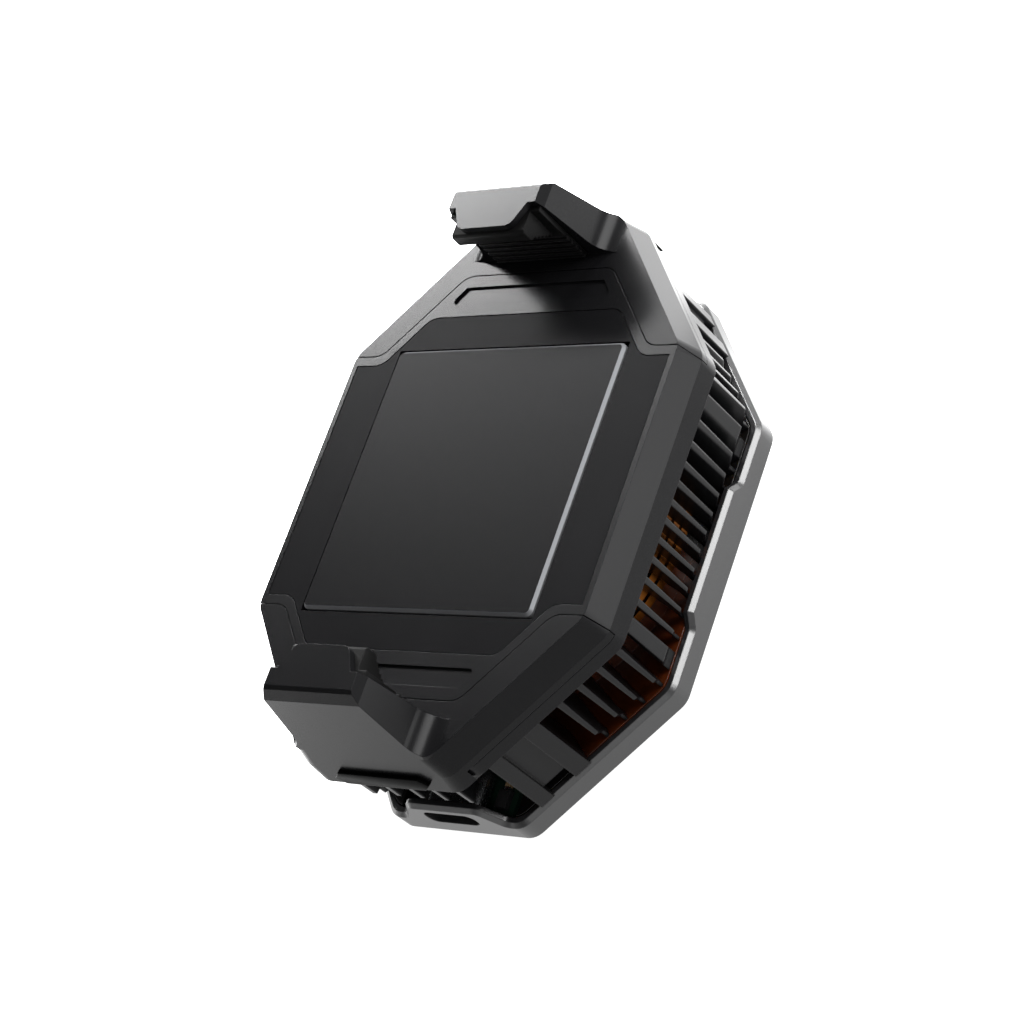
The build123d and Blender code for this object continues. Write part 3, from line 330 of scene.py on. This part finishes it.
# %% [markdown]
# The rear ring is die-cast zinc under a black lacquer, the hardest gloss on the cooler. The flakes
# in its lacquer are drawn 0.25 mm apart, since real ones are too fine to show.

# %% Lacquered ring


def ring_finish():
    """Hard black lacquer with a faint flake."""
    material, shader, edge = new_finish(
        "black_lacquered_zinc", "141415", 0.33, rounding=0.2, gleam=0.9
    )
    place = object_place(material)
    flakes = uneven(material, shader, place, size=0.25, low=0.30, high=0.36)
    two_tone(material, shader, flakes, "131314", "161617")
    grain(material, shader, edge, place, size=0.08, depth=0.0006)
    return material


ring = ring_finish()
print("ring finish:", ring.name)

# %% [markdown]
# Behind the louvres sit the warm parts. The heat sink is anodised in amber, a metal whose colour is
# in its skin, and the fan is amber polycarbonate, which light enters a little way.
# Both have a grain of 0.1 to 0.2 mm, which is as fine as the portrait can show.

# %% Amber metal and plastic


def amber_metal_finish():
    """Anodised aluminium, warm and half matt."""
    material, shader, edge = new_finish(
        "amber_anodised", "6a3a05", 0.3, metallic=0.9, rounding=0.08
    )
    place = object_place(material)
    patches = uneven(material, shader, place, size=6.0, low=0.26, high=0.36)
    two_tone(material, shader, patches, "643605", "744208")
    grain(material, shader, edge, place, size=0.1, depth=0.0012)
    return material


def amber_plastic_finish(name, first, second):
    """Translucent moulded plastic with a little light under its skin."""
    material, shader, edge = new_finish(name, first, 0.28, rounding=0.1, coat=0.1)
    shader.inputs["Subsurface Weight"].default_value = 0.25
    shader.inputs["Subsurface Scale"].default_value = 1.5 * millimetre
    shader.inputs["Subsurface Radius"].default_value = (1.0, 0.45, 0.1)
    place = object_place(material)
    patches = uneven(material, shader, place, size=5.0, low=0.24, high=0.36)
    two_tone(material, shader, patches, first, second)
    grain(material, shader, edge, place, size=0.2, depth=0.002)
    return material, shader, place


amber_metal = amber_metal_finish()
amber_plastic, _, _ = amber_plastic_finish("amber_polycarbonate", "9a4c0c", "aa5a14")
print("amber finishes: 2")

# %% [markdown]
# The tray that guides the air is the same plastic in a darker amber. Its amber shows in one band
# across the cooler, beside the power socket; beyond that band the black is painted shade, for the
# dark inside the cage.
# Math nodes measure how far a point is from the middle of the band, and a ramp does the rest.

# %% Amber tray with painted shade
band_middle = -15.0 * millimetre
band_half = 11.0 * millimetre
band_end = 17.0 * millimetre


def tray_finish_with_painted_shade():
    """Amber only in a band along Y, fading at both its ends to black that is painted shade."""
    material, shader, place = amber_plastic_finish("amber_with_painted_shade", "321303", "3a1604")
    split = add_node(material, "ShaderNodeSeparateXYZ", {"Vector": place})
    offset = add_node(
        material, "ShaderNodeMath", {0: split.outputs["Y"], 1: band_middle}, operation="SUBTRACT"
    )
    away = add_node(
        material, "ShaderNodeMath", {0: offset.outputs["Value"]}, operation="ABSOLUTE"
    )
    # Painted shade: away from the band the tray turns black, standing in for shade inside the cage.
    painted_shade = add_node(
        material,
        "ShaderNodeMapRange",
        {"Value": away.outputs["Value"], "From Min": band_half, "From Max": band_end},
        interpolation_type="SMOOTHSTEP",
    )
    two_tone(material, shader, painted_shade.outputs["Result"], "3a1604", "080706", 0.0, 1.0)
    return material


amber_tray = tray_finish_with_painted_shade()
print("tray finish:", amber_tray.name)

# %% [markdown]
# The hidden workings get plain honest finishes too, because the vents, the power socket and the
# rear grille let the eye in. These are the metals: plated steel, bronze, laminated iron and copper.
# The streaks of a turned piece run round it, and those of a stack along its sheets, so the pattern
# is squeezed along the axis that they cross.

# %% Metals


def metal_finish(name, first, second, low, high, stretch=(1, 1, 1), metallic=1.0):
    """Plain metal, with faint streaks across the axis that stretch squeezes."""
    material, shader, edge = new_finish(name, first, low, metallic=metallic, rounding=0.05)
    place = object_place(material, stretch)
    patches = uneven(material, shader, place, size=0.8, low=low, high=high)
    two_tone(material, shader, patches, first, second)
    grain(material, shader, edge, place, size=0.1, depth=0.001)
    return material


# Each row: the metal, its two shades, and the least and most roughness.
steel = metal_finish("plated_steel", "b4b6b8", "c4c5c6", 0.24, 0.36, stretch=(1, 1, 6))
bronze = metal_finish("sintered_bronze", "8a6a3c", "9a7a4a", 0.4, 0.55)
iron = metal_finish("laminated_iron", "6c6e72", "7d7f83", 0.4, 0.5, stretch=(1, 1, 30))
magnet = metal_finish("bonded_ferrite", "2f2f31", "3a3a3c", 0.5, 0.62, metallic=0.4)
gold = metal_finish("gold_plating", "d8ac52", "e2bd6a", 0.2, 0.3)
copper = metal_finish("lacquered_copper", "b4653a", "c47446", 0.25, 0.35)
solder = metal_finish("tin_solder", "b9bbbd", "cfd0d0", 0.22, 0.35)
print("metals: 7")

# %% [markdown]
# The power socket is a shell of drawn stainless steel round a tongue of black nylon, but one solid
# carries both. The tongue is a thin box in the middle, so the shader asks how far a point is from
# that middle, as a share of the box: under one is nylon, and over one is steel.

# %% Power socket
tongue_middle = (0, 0, 5.6 * millimetre)
tongue_half_size = (3.42 * millimetre, 1, 0.37 * millimetre)


def socket_finish():
    """Drawn stainless steel, but black nylon where the tongue is."""
    material, shader, edge = new_finish("stainless_steel", "b3b5b7", 0.26, rounding=0.05)
    place = object_place(material)
    uneven(material, shader, place, size=0.8, low=0.2, high=0.32)
    grain(material, shader, edge, place, size=0.1, depth=0.001)
    offset = add_node(
        material, "ShaderNodeVectorMath", {0: place, 1: tongue_middle}, operation="SUBTRACT"
    )
    away = add_node(
        material, "ShaderNodeVectorMath", {0: offset.outputs["Vector"]}, operation="ABSOLUTE"
    )
    shares = add_node(
        material,
        "ShaderNodeVectorMath",
        {0: away.outputs["Vector"], 1: tongue_half_size},
        operation="DIVIDE",
    )
    split = add_node(material, "ShaderNodeSeparateXYZ", {"Vector": shares.outputs["Vector"]})
    farther = add_node(
        material,
        "ShaderNodeMath",
        {0: split.outputs["X"], 1: split.outputs["Z"]},
        operation="MAXIMUM",
    )
    steel_share = add_node(
        material,
        "ShaderNodeMapRange",
        {"Value": farther.outputs["Value"], "From Min": 1.0, "From Max": 1.02},
        {"Result": shader.inputs["Metallic"]},
    )
    two_tone(material, shader, steel_share.outputs["Result"], "0e0e0f", "b3b5b7", 0.0, 1.0)
    return material


socket_steel = socket_finish()
print("socket finish:", socket_steel.name)

# %% [markdown]
# The last finishes are for small things that are told apart by their grain more than their colour:
# gears of acetal, ceramic, foam with open pores, a solder mask, chips and the sleeves of the wires.

# %% Small parts


def small_part_finish(name, first, second, low, high, size=0.15, depth=0.003):
    """Small mouldings, foams and laminates with a grain of their own, in millimetres."""
    material, shader, edge = new_finish(name, first, low, rounding=0.05)
    place = object_place(material)
    patches = uneven(material, shader, place, size=2.5, low=low, high=high)
    two_tone(material, shader, patches, first, second)
    grain(material, shader, edge, place, size, depth)
    return material


# Each row: the stuff, its two shades, the least and most roughness, and its grain's two sizes.
gear_white = small_part_finish("acetal", "dadbd6", "e2e3df", 0.35, 0.45)
ceramic = small_part_finish("alumina_ceramic", "e4e3dc", "ecebe6", 0.45, 0.55, 0.05, 0.002)
foam = small_part_finish("polyurethane_foam", "161617", "222223", 0.85, 0.95, 0.35, 0.05)
mask = small_part_finish("green_solder_mask", "10241a", "152c20", 0.25, 0.35, 0.3, 0.002)
chip = small_part_finish("epoxy_resin", "1a1a1b", "222223", 0.5, 0.6, 0.06, 0.003)
tan_ceramic = small_part_finish("tan_ceramic", "9a8262", "a68e6e", 0.4, 0.5, 0.06, 0.002)
wire_red = small_part_finish("red_silicone_sleeve", "8e1a16", "981f1a", 0.35, 0.45, 0.2, 0.002)
wire_black = small_part_finish("black_silicone_sleeve", "17171a", "1f1f22", 0.35, 0.45, 0.2, 0.002)
print("materials:", len(bpy.data.materials))

# %% [markdown]
# Each piece of the frame keeps its own mesh and only changes its coat. One table says which, and
# what isn't in it, such as screws, pins and the shaft, is plated steel.

# %% Which piece wears which finish
coats = {
    "front_frame": housing,
    "upper_jaw": housing,
    "lower_jaw": housing,
    "contact_panel": film,
    "cold_plate": plate,
    "peltier_module": ceramic,
    "insulation_gasket": foam,
    "guide_plate": inner,
    "upper_finger_bar": gloss,
    "lower_finger_bar": gloss,
    "upper_grip": rubber,
    "lower_grip": rubber,
    "right_pinion": gear_white,
    "left_pinion": gear_white,
    "heat_sink": amber_metal,
    "vent_cage": cage,
    "rear_frame": ring,
    "air_guide": amber_tray,
    "impeller": amber_plastic,
    "circuit_board": mask,
    "board_chips": chip,
    "usb_socket": socket_steel,
    "red_module_wire": wire_red,
    "black_module_wire": wire_black,
    "fan_cover": cover,
    "motor_bearing": bronze,
    "motor_stator": iron,
    "rotor_magnet": magnet,
}


def wear(piece, material):
    """A piece in one finish all over."""
    piece.data.materials.clear()
    piece.data.materials.append(material)


for name, piece in nodes.items():
    wear(piece, coats.get(name, steel))
print("finished:", len(nodes))

# %% [markdown]
# New pieces are shaped the way a hand would in Blender's window: select one thing, work on it in
# edit mode, add a modifier and apply it. These helpers do those steps in code.
# A finished piece keeps its place in its mesh, with its object at the origin, so that the pattern
# of its finish stays put.

# %% Selecting, modifying and dressing
smooth_angle = radians(35)


def only(*pieces):
    """Nothing selected but these pieces, the first of them active."""
    bpy.ops.object.select_all(action="DESELECT")
    for piece in pieces:
        piece.select_set(True)
    if pieces:
        bpy.context.view_layer.objects.active = pieces[0]


def apply_modifier(piece, kind, **settings):
    """A modifier with its settings, applied at once."""
    only(piece)
    modifier = piece.modifiers.new(kind.lower(), kind)
    for name, value in settings.items():
        setattr(modifier, name, value)
    bpy.ops.object.modifier_apply(modifier=modifier.name)


def dress(piece, name, slot, material=None, replaced=()):
    """Name, smooth faces, finish and replaced nodes of a finished piece; slot is not used."""
    piece.name = name
    piece.data.name = name
    if material:
        wear(piece, material)
    only(piece)
    bpy.ops.object.transform_apply(location=True, rotation=True, scale=True)
    bpy.ops.object.shade_smooth_by_angle(angle=smooth_angle)
    if replaced:
        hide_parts(*replaced)
    print(name, "faces:", len(piece.data.polygons))


print("ready:", only.__name__, apply_modifier.__name__, dress.__name__)

# %% [markdown]
# The silicone grips come out of a soft mould, so every edge and rib of them is round. The finger
# bars are pressed in and polished, with a small round on each edge too.
# Both solids already have the right outline, so a merged copy of each gets a real bevel. The shader
# could fake it, but then the finished mesh would stay sharp.

# %% Rounded grips and finger bars
merge_distance = 0.002 * millimetre
flat_angle = radians(1)
sharp_angle = radians(25)
grip_round = 0.09 * millimetre
bar_round = 0.14 * millimetre


def rounded_copy(node, width):
    """A merged copy of a solid, its flat faces whole again, with round edges."""
    piece = bpy.data.objects.new(node + "_round", nodes[node].data.copy())
    bpy.context.scene.collection.objects.link(piece)
    only(piece)
    bpy.ops.object.mode_set(mode="EDIT")
    bpy.ops.mesh.select_all(action="SELECT")
    bpy.ops.mesh.remove_doubles(threshold=merge_distance)
    bpy.ops.mesh.dissolve_limited(angle_limit=flat_angle)
    bpy.ops.object.mode_set(mode="OBJECT")
    apply_modifier(
        piece, "BEVEL", width=width, segments=2, limit_method="ANGLE", angle_limit=sharp_angle
    )
    return piece


for end in ("upper", "lower"):
    grip = rounded_copy(end + "_grip", grip_round)
    dress(grip, end + "_rubber_grip", "grip_rubber", rubber, [end + "_grip"])
    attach(grip, end + "_jaw")
    bar = rounded_copy(end + "_finger_bar", bar_round)
    dress(bar, end + "_polished_bar", "bar_gloss", gloss, [end + "_finger_bar"])
    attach(bar, end + "_jaw")

# %% [markdown]
# A return spring is a wound wire. Its section is a small circle beside the spring's axis, and a
# Screw modifier turns and lifts it at once, which is just how wire is wound on a bar.

# %% Return springs
spring_wire = 0.35 * millimetre
spring_turns = 16
wire_sides = 8
turn_steps = 14
weld_distance = 0.001 * millimetre


def wound_spring(node):
    """A coil in a node's box, wound along Y; in the cooler the case holds it inside and a jaw at
    its outward end.
    """
    low, high = (Vector(corner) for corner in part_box(node))
    axis = (low + high) / 2
    coil_radius = (high.x - low.x - spring_wire) / 2
    start = (axis.x, low.y + spring_wire / 2, axis.z)
    only()
    bpy.ops.mesh.primitive_circle_add(vertices=wire_sides, radius=spring_wire / 2, location=start)
    spring = bpy.context.object
    bpy.ops.object.mode_set(mode="EDIT")
    bpy.ops.transform.translate(value=(coil_radius, 0, 0))
    bpy.ops.object.mode_set(mode="OBJECT")
    apply_modifier(
        spring,
        "SCREW",
        axis="Y",
        angle=2 * pi,
        screw_offset=(high.y - low.y - spring_wire) / spring_turns,
        iterations=spring_turns,
        steps=turn_steps,
        render_steps=turn_steps,
    )
    bpy.ops.object.mode_set(mode="EDIT")
    bpy.ops.mesh.select_all(action="SELECT")
    bpy.ops.mesh.remove_doubles(threshold=weld_distance)
    bpy.ops.mesh.fill_holes(sides=wire_sides)
    bpy.ops.mesh.select_all(action="SELECT")
    bpy.ops.mesh.normals_make_consistent(inside=False)
    bpy.ops.object.mode_set(mode="OBJECT")
    dress(spring, node.replace("return", "wound"), "fastener_steel", steel, [node])
    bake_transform(spring)


wound_spring("right_return_spring")
wound_spring("left_return_spring")

# %% [markdown]
# What repeats is modelled once. These helpers make a plain block to start from, repeat it in a row
# with an Array, copy it with its own mesh, and join the copies into one piece.

# %% Blocks, rows and copies


def block(size, place):
    """A cube scaled to a size in edit mode."""
    only()
    bpy.ops.mesh.primitive_cube_add(size=1, location=place)
    bpy.ops.object.mode_set(mode="EDIT")
    bpy.ops.transform.resize(value=size)
    bpy.ops.object.mode_set(mode="OBJECT")
    return bpy.context.object


def row_of(piece, count, step):
    """The piece repeated in a straight row, each a step from the last."""
    apply_modifier(
        piece,
        "ARRAY",
        count=count,
        use_relative_offset=False,
        use_constant_offset=True,
        constant_offset_displace=step,
    )


def twin(piece):
    """A copy with its own mesh."""
    copy = piece.copy()
    copy.data = piece.data.copy()
    bpy.context.scene.collection.objects.link(copy)
    return copy


def joined(pieces):
    """Several pieces as one mesh with its place in it."""
    only(*pieces)
    bpy.ops.object.transform_apply(location=True, rotation=True, scale=True)
    bpy.ops.object.join()
    return pieces[0]


print("ready:", block.__name__, row_of.__name__, twin.__name__, joined.__name__)

# %% [markdown]
# The motor's six poles each carry a coil of lacquered copper wire, seen as a stack of round-edged
# layers. One layer is a block with all its edges bevelled, an Array stacks five of them along the
# pole, and the stack is copied and turned about the axis for each pole.

# %% Copper windings
pole_total = 6
layer_total = 5
coil_inner = 3.95 * millimetre
coil_outer = 5.6 * millimetre
coil_width = 2.5 * millimetre
coil_overhang = 0.7 * millimetre
layer_round = 0.15 * millimetre
stator_low, stator_high = (Vector(corner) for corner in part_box("motor_stator"))
coil_height = stator_high.z - stator_low.z + coil_overhang
layer_depth = (coil_outer - coil_inner) / layer_total
layer = block(
    (layer_depth, coil_width, coil_height),
    (coil_inner + layer_depth / 2, 0, (stator_low.z + stator_high.z) / 2),
)
apply_modifier(layer, "BEVEL", width=layer_round, segments=2, limit_method="ANGLE")
row_of(layer, layer_total, (layer_depth, 0, 0))
only(layer)
bpy.ops.object.transform_apply(location=True)
coils = [layer]
for index in range(1, pole_total):
    coil = twin(layer)
    coil.rotation_euler = (0, 0, 2 * pi * index / pole_total)
    coils.append(coil)
windings = joined(coils)
dress(windings, "stator_windings", "stator_iron", copper)
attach(windings, "case")

# %% [markdown]
# Inside the power socket, the tongue carries twelve gilded contacts on each side, half a millimetre
# apart. One is a thin bevelled strip, an Array makes the row, and a second row lies underneath.

# %% Socket contacts
contact_total = 12
contact_pitch = 0.5 * millimetre
contact_size = (0.26 * millimetre, 3.2 * millimetre, 0.06 * millimetre)
contact_round = 0.015 * millimetre
contact_setback = 1.1 * millimetre
tongue_half = 0.35 * millimetre
socket_low, socket_high = (Vector(corner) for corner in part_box("usb_socket"))
socket_middle = (socket_low.z + socket_high.z) / 2
rows = []
for side in (1, -1):
    contact_place = (
        -contact_pitch * (contact_total - 1) / 2,
        socket_low.y + contact_setback + contact_size[1] / 2,
        socket_middle + side * tongue_half,
    )
    contact = block(contact_size, contact_place)
    apply_modifier(contact, "BEVEL", width=contact_round, segments=1, limit_method="ANGLE")
    row_of(contact, contact_total, (contact_pitch, 0, 0))
    rows.append(contact)
contacts = joined(rows)
dress(contacts, "socket_contacts", "socket_steel", gold)
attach(contacts, "case")

# %% [markdown]
# Small ceramic capacitors stand on the board behind the socket. Each is a tan block whose two ends
# are capped in solder: two cuts part the caps from the middle, and the caps are swelled outwards.
# One is modelled, and its copies stand at named places.

# %% Board capacitors
board_low, board_high = (Vector(corner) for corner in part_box("circuit_board"))
board_middle = (board_low.y + board_high.y) / 2
row_gap = 1.0 * millimetre
row_y = socket_high.y + row_gap
row_steps = (-3, -1, 1, 3)
side_x = 6.6 * millimetre
capacitor_size = (0.8 * millimetre, 1.4 * millimetre, 0.7 * millimetre)
cap_share = 0.28
cap_swell = 0.04 * millimetre
capacitor = block(capacitor_size, (0, 0, board_high.z + capacitor_size[2] / 2))
bpy.ops.object.mode_set(mode="EDIT")
for share in (-cap_share, cap_share):
    bpy.ops.mesh.select_all(action="SELECT")
    bpy.ops.mesh.bisect(plane_co=(0, share * capacitor_size[1], 0), plane_no=(0, 1, 0))
bpy.ops.object.mode_set(mode="OBJECT")
capacitor.data.materials.append(tan_ceramic)
capacitor.data.materials.append(solder)
for polygon in capacitor.data.polygons:
    end_cap = abs(polygon.center.y) > cap_share * capacitor_size[1]
    polygon.material_index = int(end_cap)
    polygon.select = end_cap
bpy.ops.object.mode_set(mode="EDIT")
bpy.ops.mesh.select_mode(type="FACE")
bpy.ops.mesh.extrude_region_shrink_fatten(TRANSFORM_OT_shrink_fatten={"value": cap_swell})
bpy.ops.object.mode_set(mode="OBJECT")
places = [(step * millimetre, row_y) for step in row_steps]
places += [(-side_x, board_middle), (side_x, board_middle)]
capacitors = [capacitor] + [twin(capacitor) for _ in places[1:]]
for piece, (x, y) in zip(capacitors, places):
    piece.location = (x, y, capacitor.location.z)
capacitors = joined(capacitors)
dress(capacitors, "board_capacitors", "chip_black")
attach(capacitors, "case")

# %% [markdown]
# The table is a light table: a white sheet that glows by itself, so it shows no shadow.
# Product photographers call this high-key light. The paper's own finish is a matt grey with a
# roughness that wanders over patches as wide as a hand.

# %% Table
table_size = 6
only()
bpy.ops.mesh.primitive_plane_add(size=table_size, location=(0, 0, 0))
table = bpy.context.object
table.name = "white_table"
paper, paper_shader, _ = new_finish("glowing_paper", "6a6a6a", 0.9, gleam=0.1)
paper_place = object_place(paper)
uneven(paper, paper_shader, paper_place, size=60.0, low=0.85, high=0.95)
wear(table, paper)
print("table:", table_size, "metres wide")

# %% [markdown]
# The table glows most beyond the upper jaw, and the walls that face that way turn as white as the
# ground. The glow depends on where a point lies, and here it is measured in four ways: straight
# along X and Y, slanted as the corner walls are, from the foot of the case, and from a bright spot.

# %% Where the table glows
slant = radians(-45)
foot_radii = (0.035, 0.047)
spot_middle = (0.15, 0.03, 0)
straight = add_node(paper, "ShaderNodeSeparateXYZ", {"Vector": paper_place})
turned = add_node(
    paper, "ShaderNodeMapping", {"Vector": paper_place, "Rotation": (0, 0, slant)}
)
slanted = add_node(paper, "ShaderNodeSeparateXYZ", {"Vector": turned.outputs["Vector"]})
oval = add_node(
    paper,
    "ShaderNodeVectorMath",
    {0: paper_place, 1: (1 / foot_radii[0], 1 / foot_radii[1], 0)},
    operation="MULTIPLY",
)
oval_reach = add_node(
    paper, "ShaderNodeVectorMath", {0: oval.outputs["Vector"]}, operation="LENGTH"
)
right_spot = add_node(
    paper, "ShaderNodeVectorMath", {0: paper_place, 1: spot_middle}, operation="SUBTRACT"
)
spot_reach = add_node(
    paper, "ShaderNodeVectorMath", {0: right_spot.outputs["Vector"]}, operation="LENGTH"
)
print("foot of the case:", foot_radii, "metres")

# %% [markdown]
# The glow is one at the least. Each row below adds to it or takes from it over a stretch: what is
# measured, where the change starts, where it is full, and how much it is. Lengths are in metres.
# At the foot of the case, the light it throws back adds a little, but not at the socket's end, so
# the two foot rows are multiplied.

# %% How much the table glows
least_glow = 1.0
foot_rows = [
    (oval_reach.outputs["Value"], 1.45, 1.0, 1.0),
    (straight.outputs["Y"], -0.04, 0.012, 0.15),
]
glow_rows = [
    (slanted.outputs["Y"], -0.009, 0.001, 2.6),
    (slanted.outputs["Y"], 0.008, 0.020, -1.7),
    (slanted.outputs["Y"], 0.022, 0.034, 3.5),
    (spot_reach.outputs["Value"], 0.085, 0.055, 6.0),
    (straight.outputs["X"], -0.015, -0.05, 0.3),
]
steps = []
for value, start, end, amount in foot_rows + glow_rows:
    step = add_node(
        paper,
        "ShaderNodeMapRange",
        {"Value": value, "From Min": start, "From Max": end, "To Min": 0.0, "To Max": amount},
        interpolation_type="SMOOTHSTEP",
    )
    steps.append(step.outputs["Result"])
foot = add_node(paper, "ShaderNodeMath", {0: steps[0], 1: steps[1]}, operation="MULTIPLY")
glow = add_node(
    paper, "ShaderNodeMath", {0: foot.outputs["Value"], 1: least_glow}, operation="ADD"
)
for step in steps[len(foot_rows) :]:
    glow = add_node(paper, "ShaderNodeMath", {0: step, 1: glow.outputs["Value"]}, operation="ADD")
paper_shader.inputs["Emission Color"].default_value = (1, 1, 1, 1)
paper.node_tree.links.new(glow.outputs["Value"], paper_shader.inputs["Emission Strength"])
print("glow rows:", len(steps))

# %% [markdown]
# A long strip lamp hangs beyond the upper jaw, and faces that look up mirror its skirt, so they
# brighten towards that end. A softbox at the right draws bright lines on the edges that face it,
# and a weak one near the camera keeps the nearest edges from going black.

# %% Lamps


def softbox(name, place, aim, width, height, power):
    """A rectangular area lamp that looks at a point."""
    lamp_data = bpy.data.lights.new(name, "AREA")
    lamp_data.shape = "RECTANGLE"
    lamp_data.size = width
    lamp_data.size_y = height
    lamp_data.energy = power
    lamp = bpy.data.objects.new(name, lamp_data)
    bpy.context.scene.collection.objects.link(lamp)
    lamp.location = place
    lamp.rotation_euler = (Vector(aim) - Vector(place)).to_track_quat("-Z", "Y").to_euler()
    print(name, "watts:", power)


case_middle = (0, 0, 0.015)
softbox(
    "strip_lamp",
    place=(-0.117, 0.315, 0.275),
    aim=(0, 0.02, 0.02),
    width=0.605,
    height=0.037,
    power=5.9,
)
softbox(
    "edge_softbox", place=(0.33, 0.20, 0.32), aim=case_middle, width=0.3, height=0.3, power=3.8
)
softbox(
    "near_fill", place=(0.20, -0.26, 0.36), aim=case_middle, width=0.25, height=0.25, power=0.30
)

# %% [markdown]
# The room is white near the ground and dark above, like a studio with its ceiling lights off. The
# view transform is the plain one, so that the table comes out as white as paper.

# %% Room
wall_foot, wall_top = 0.2, 0.5
wall_light, ceiling_light = 0.9, 0.12
world = bpy.data.worlds.new("white_room")
world.use_nodes = True
background = world.node_tree.nodes["Background"]
background.inputs["Color"].default_value = (1, 1, 1, 1)
sky = add_node(world, "ShaderNodeTexCoord", {})
sky_split = add_node(world, "ShaderNodeSeparateXYZ", {"Vector": sky.outputs["Generated"]})
add_node(
    world,
    "ShaderNodeMapRange",
    {
        "Value": sky_split.outputs["Z"],
        "From Min": wall_foot,
        "From Max": wall_top,
        "To Min": wall_light,
        "To Max": ceiling_light,
    },
    {"Result": background.inputs["Strength"]},
    interpolation_type="SMOOTHSTEP",
)
bpy.context.scene.world = world
bpy.context.scene.view_settings.view_transform = "Standard"
print("room:", world.name)

# %% [markdown]
# The camera stands to the right of the power socket's end, well above the cooler, and is rolled
# nearly fifty degrees, which is how the portrait makes the long case stand on one corner.

# %% Camera
camera_place = Vector((0.247115, -0.137509, 0.268267))
camera_direction = Vector((-0.649880, 0.363994, -0.667207))
camera_roll = radians(-49.6)
camera_data = bpy.data.cameras.new("portrait_camera")
camera_data.sensor_width = 36.0
camera_data.lens = 99.73
camera_data.clip_start = 0.01
camera = bpy.data.objects.new("portrait_camera", camera_data)
bpy.context.scene.collection.objects.link(camera)
camera.location = camera_place
turn = camera_direction.to_track_quat("-Z", "Y") @ Quaternion((0, 0, 1), camera_roll)
camera.rotation_euler = turn.to_euler()
bpy.context.scene.camera = camera
print("camera stands", round(camera_place.length, 3), "metres away")
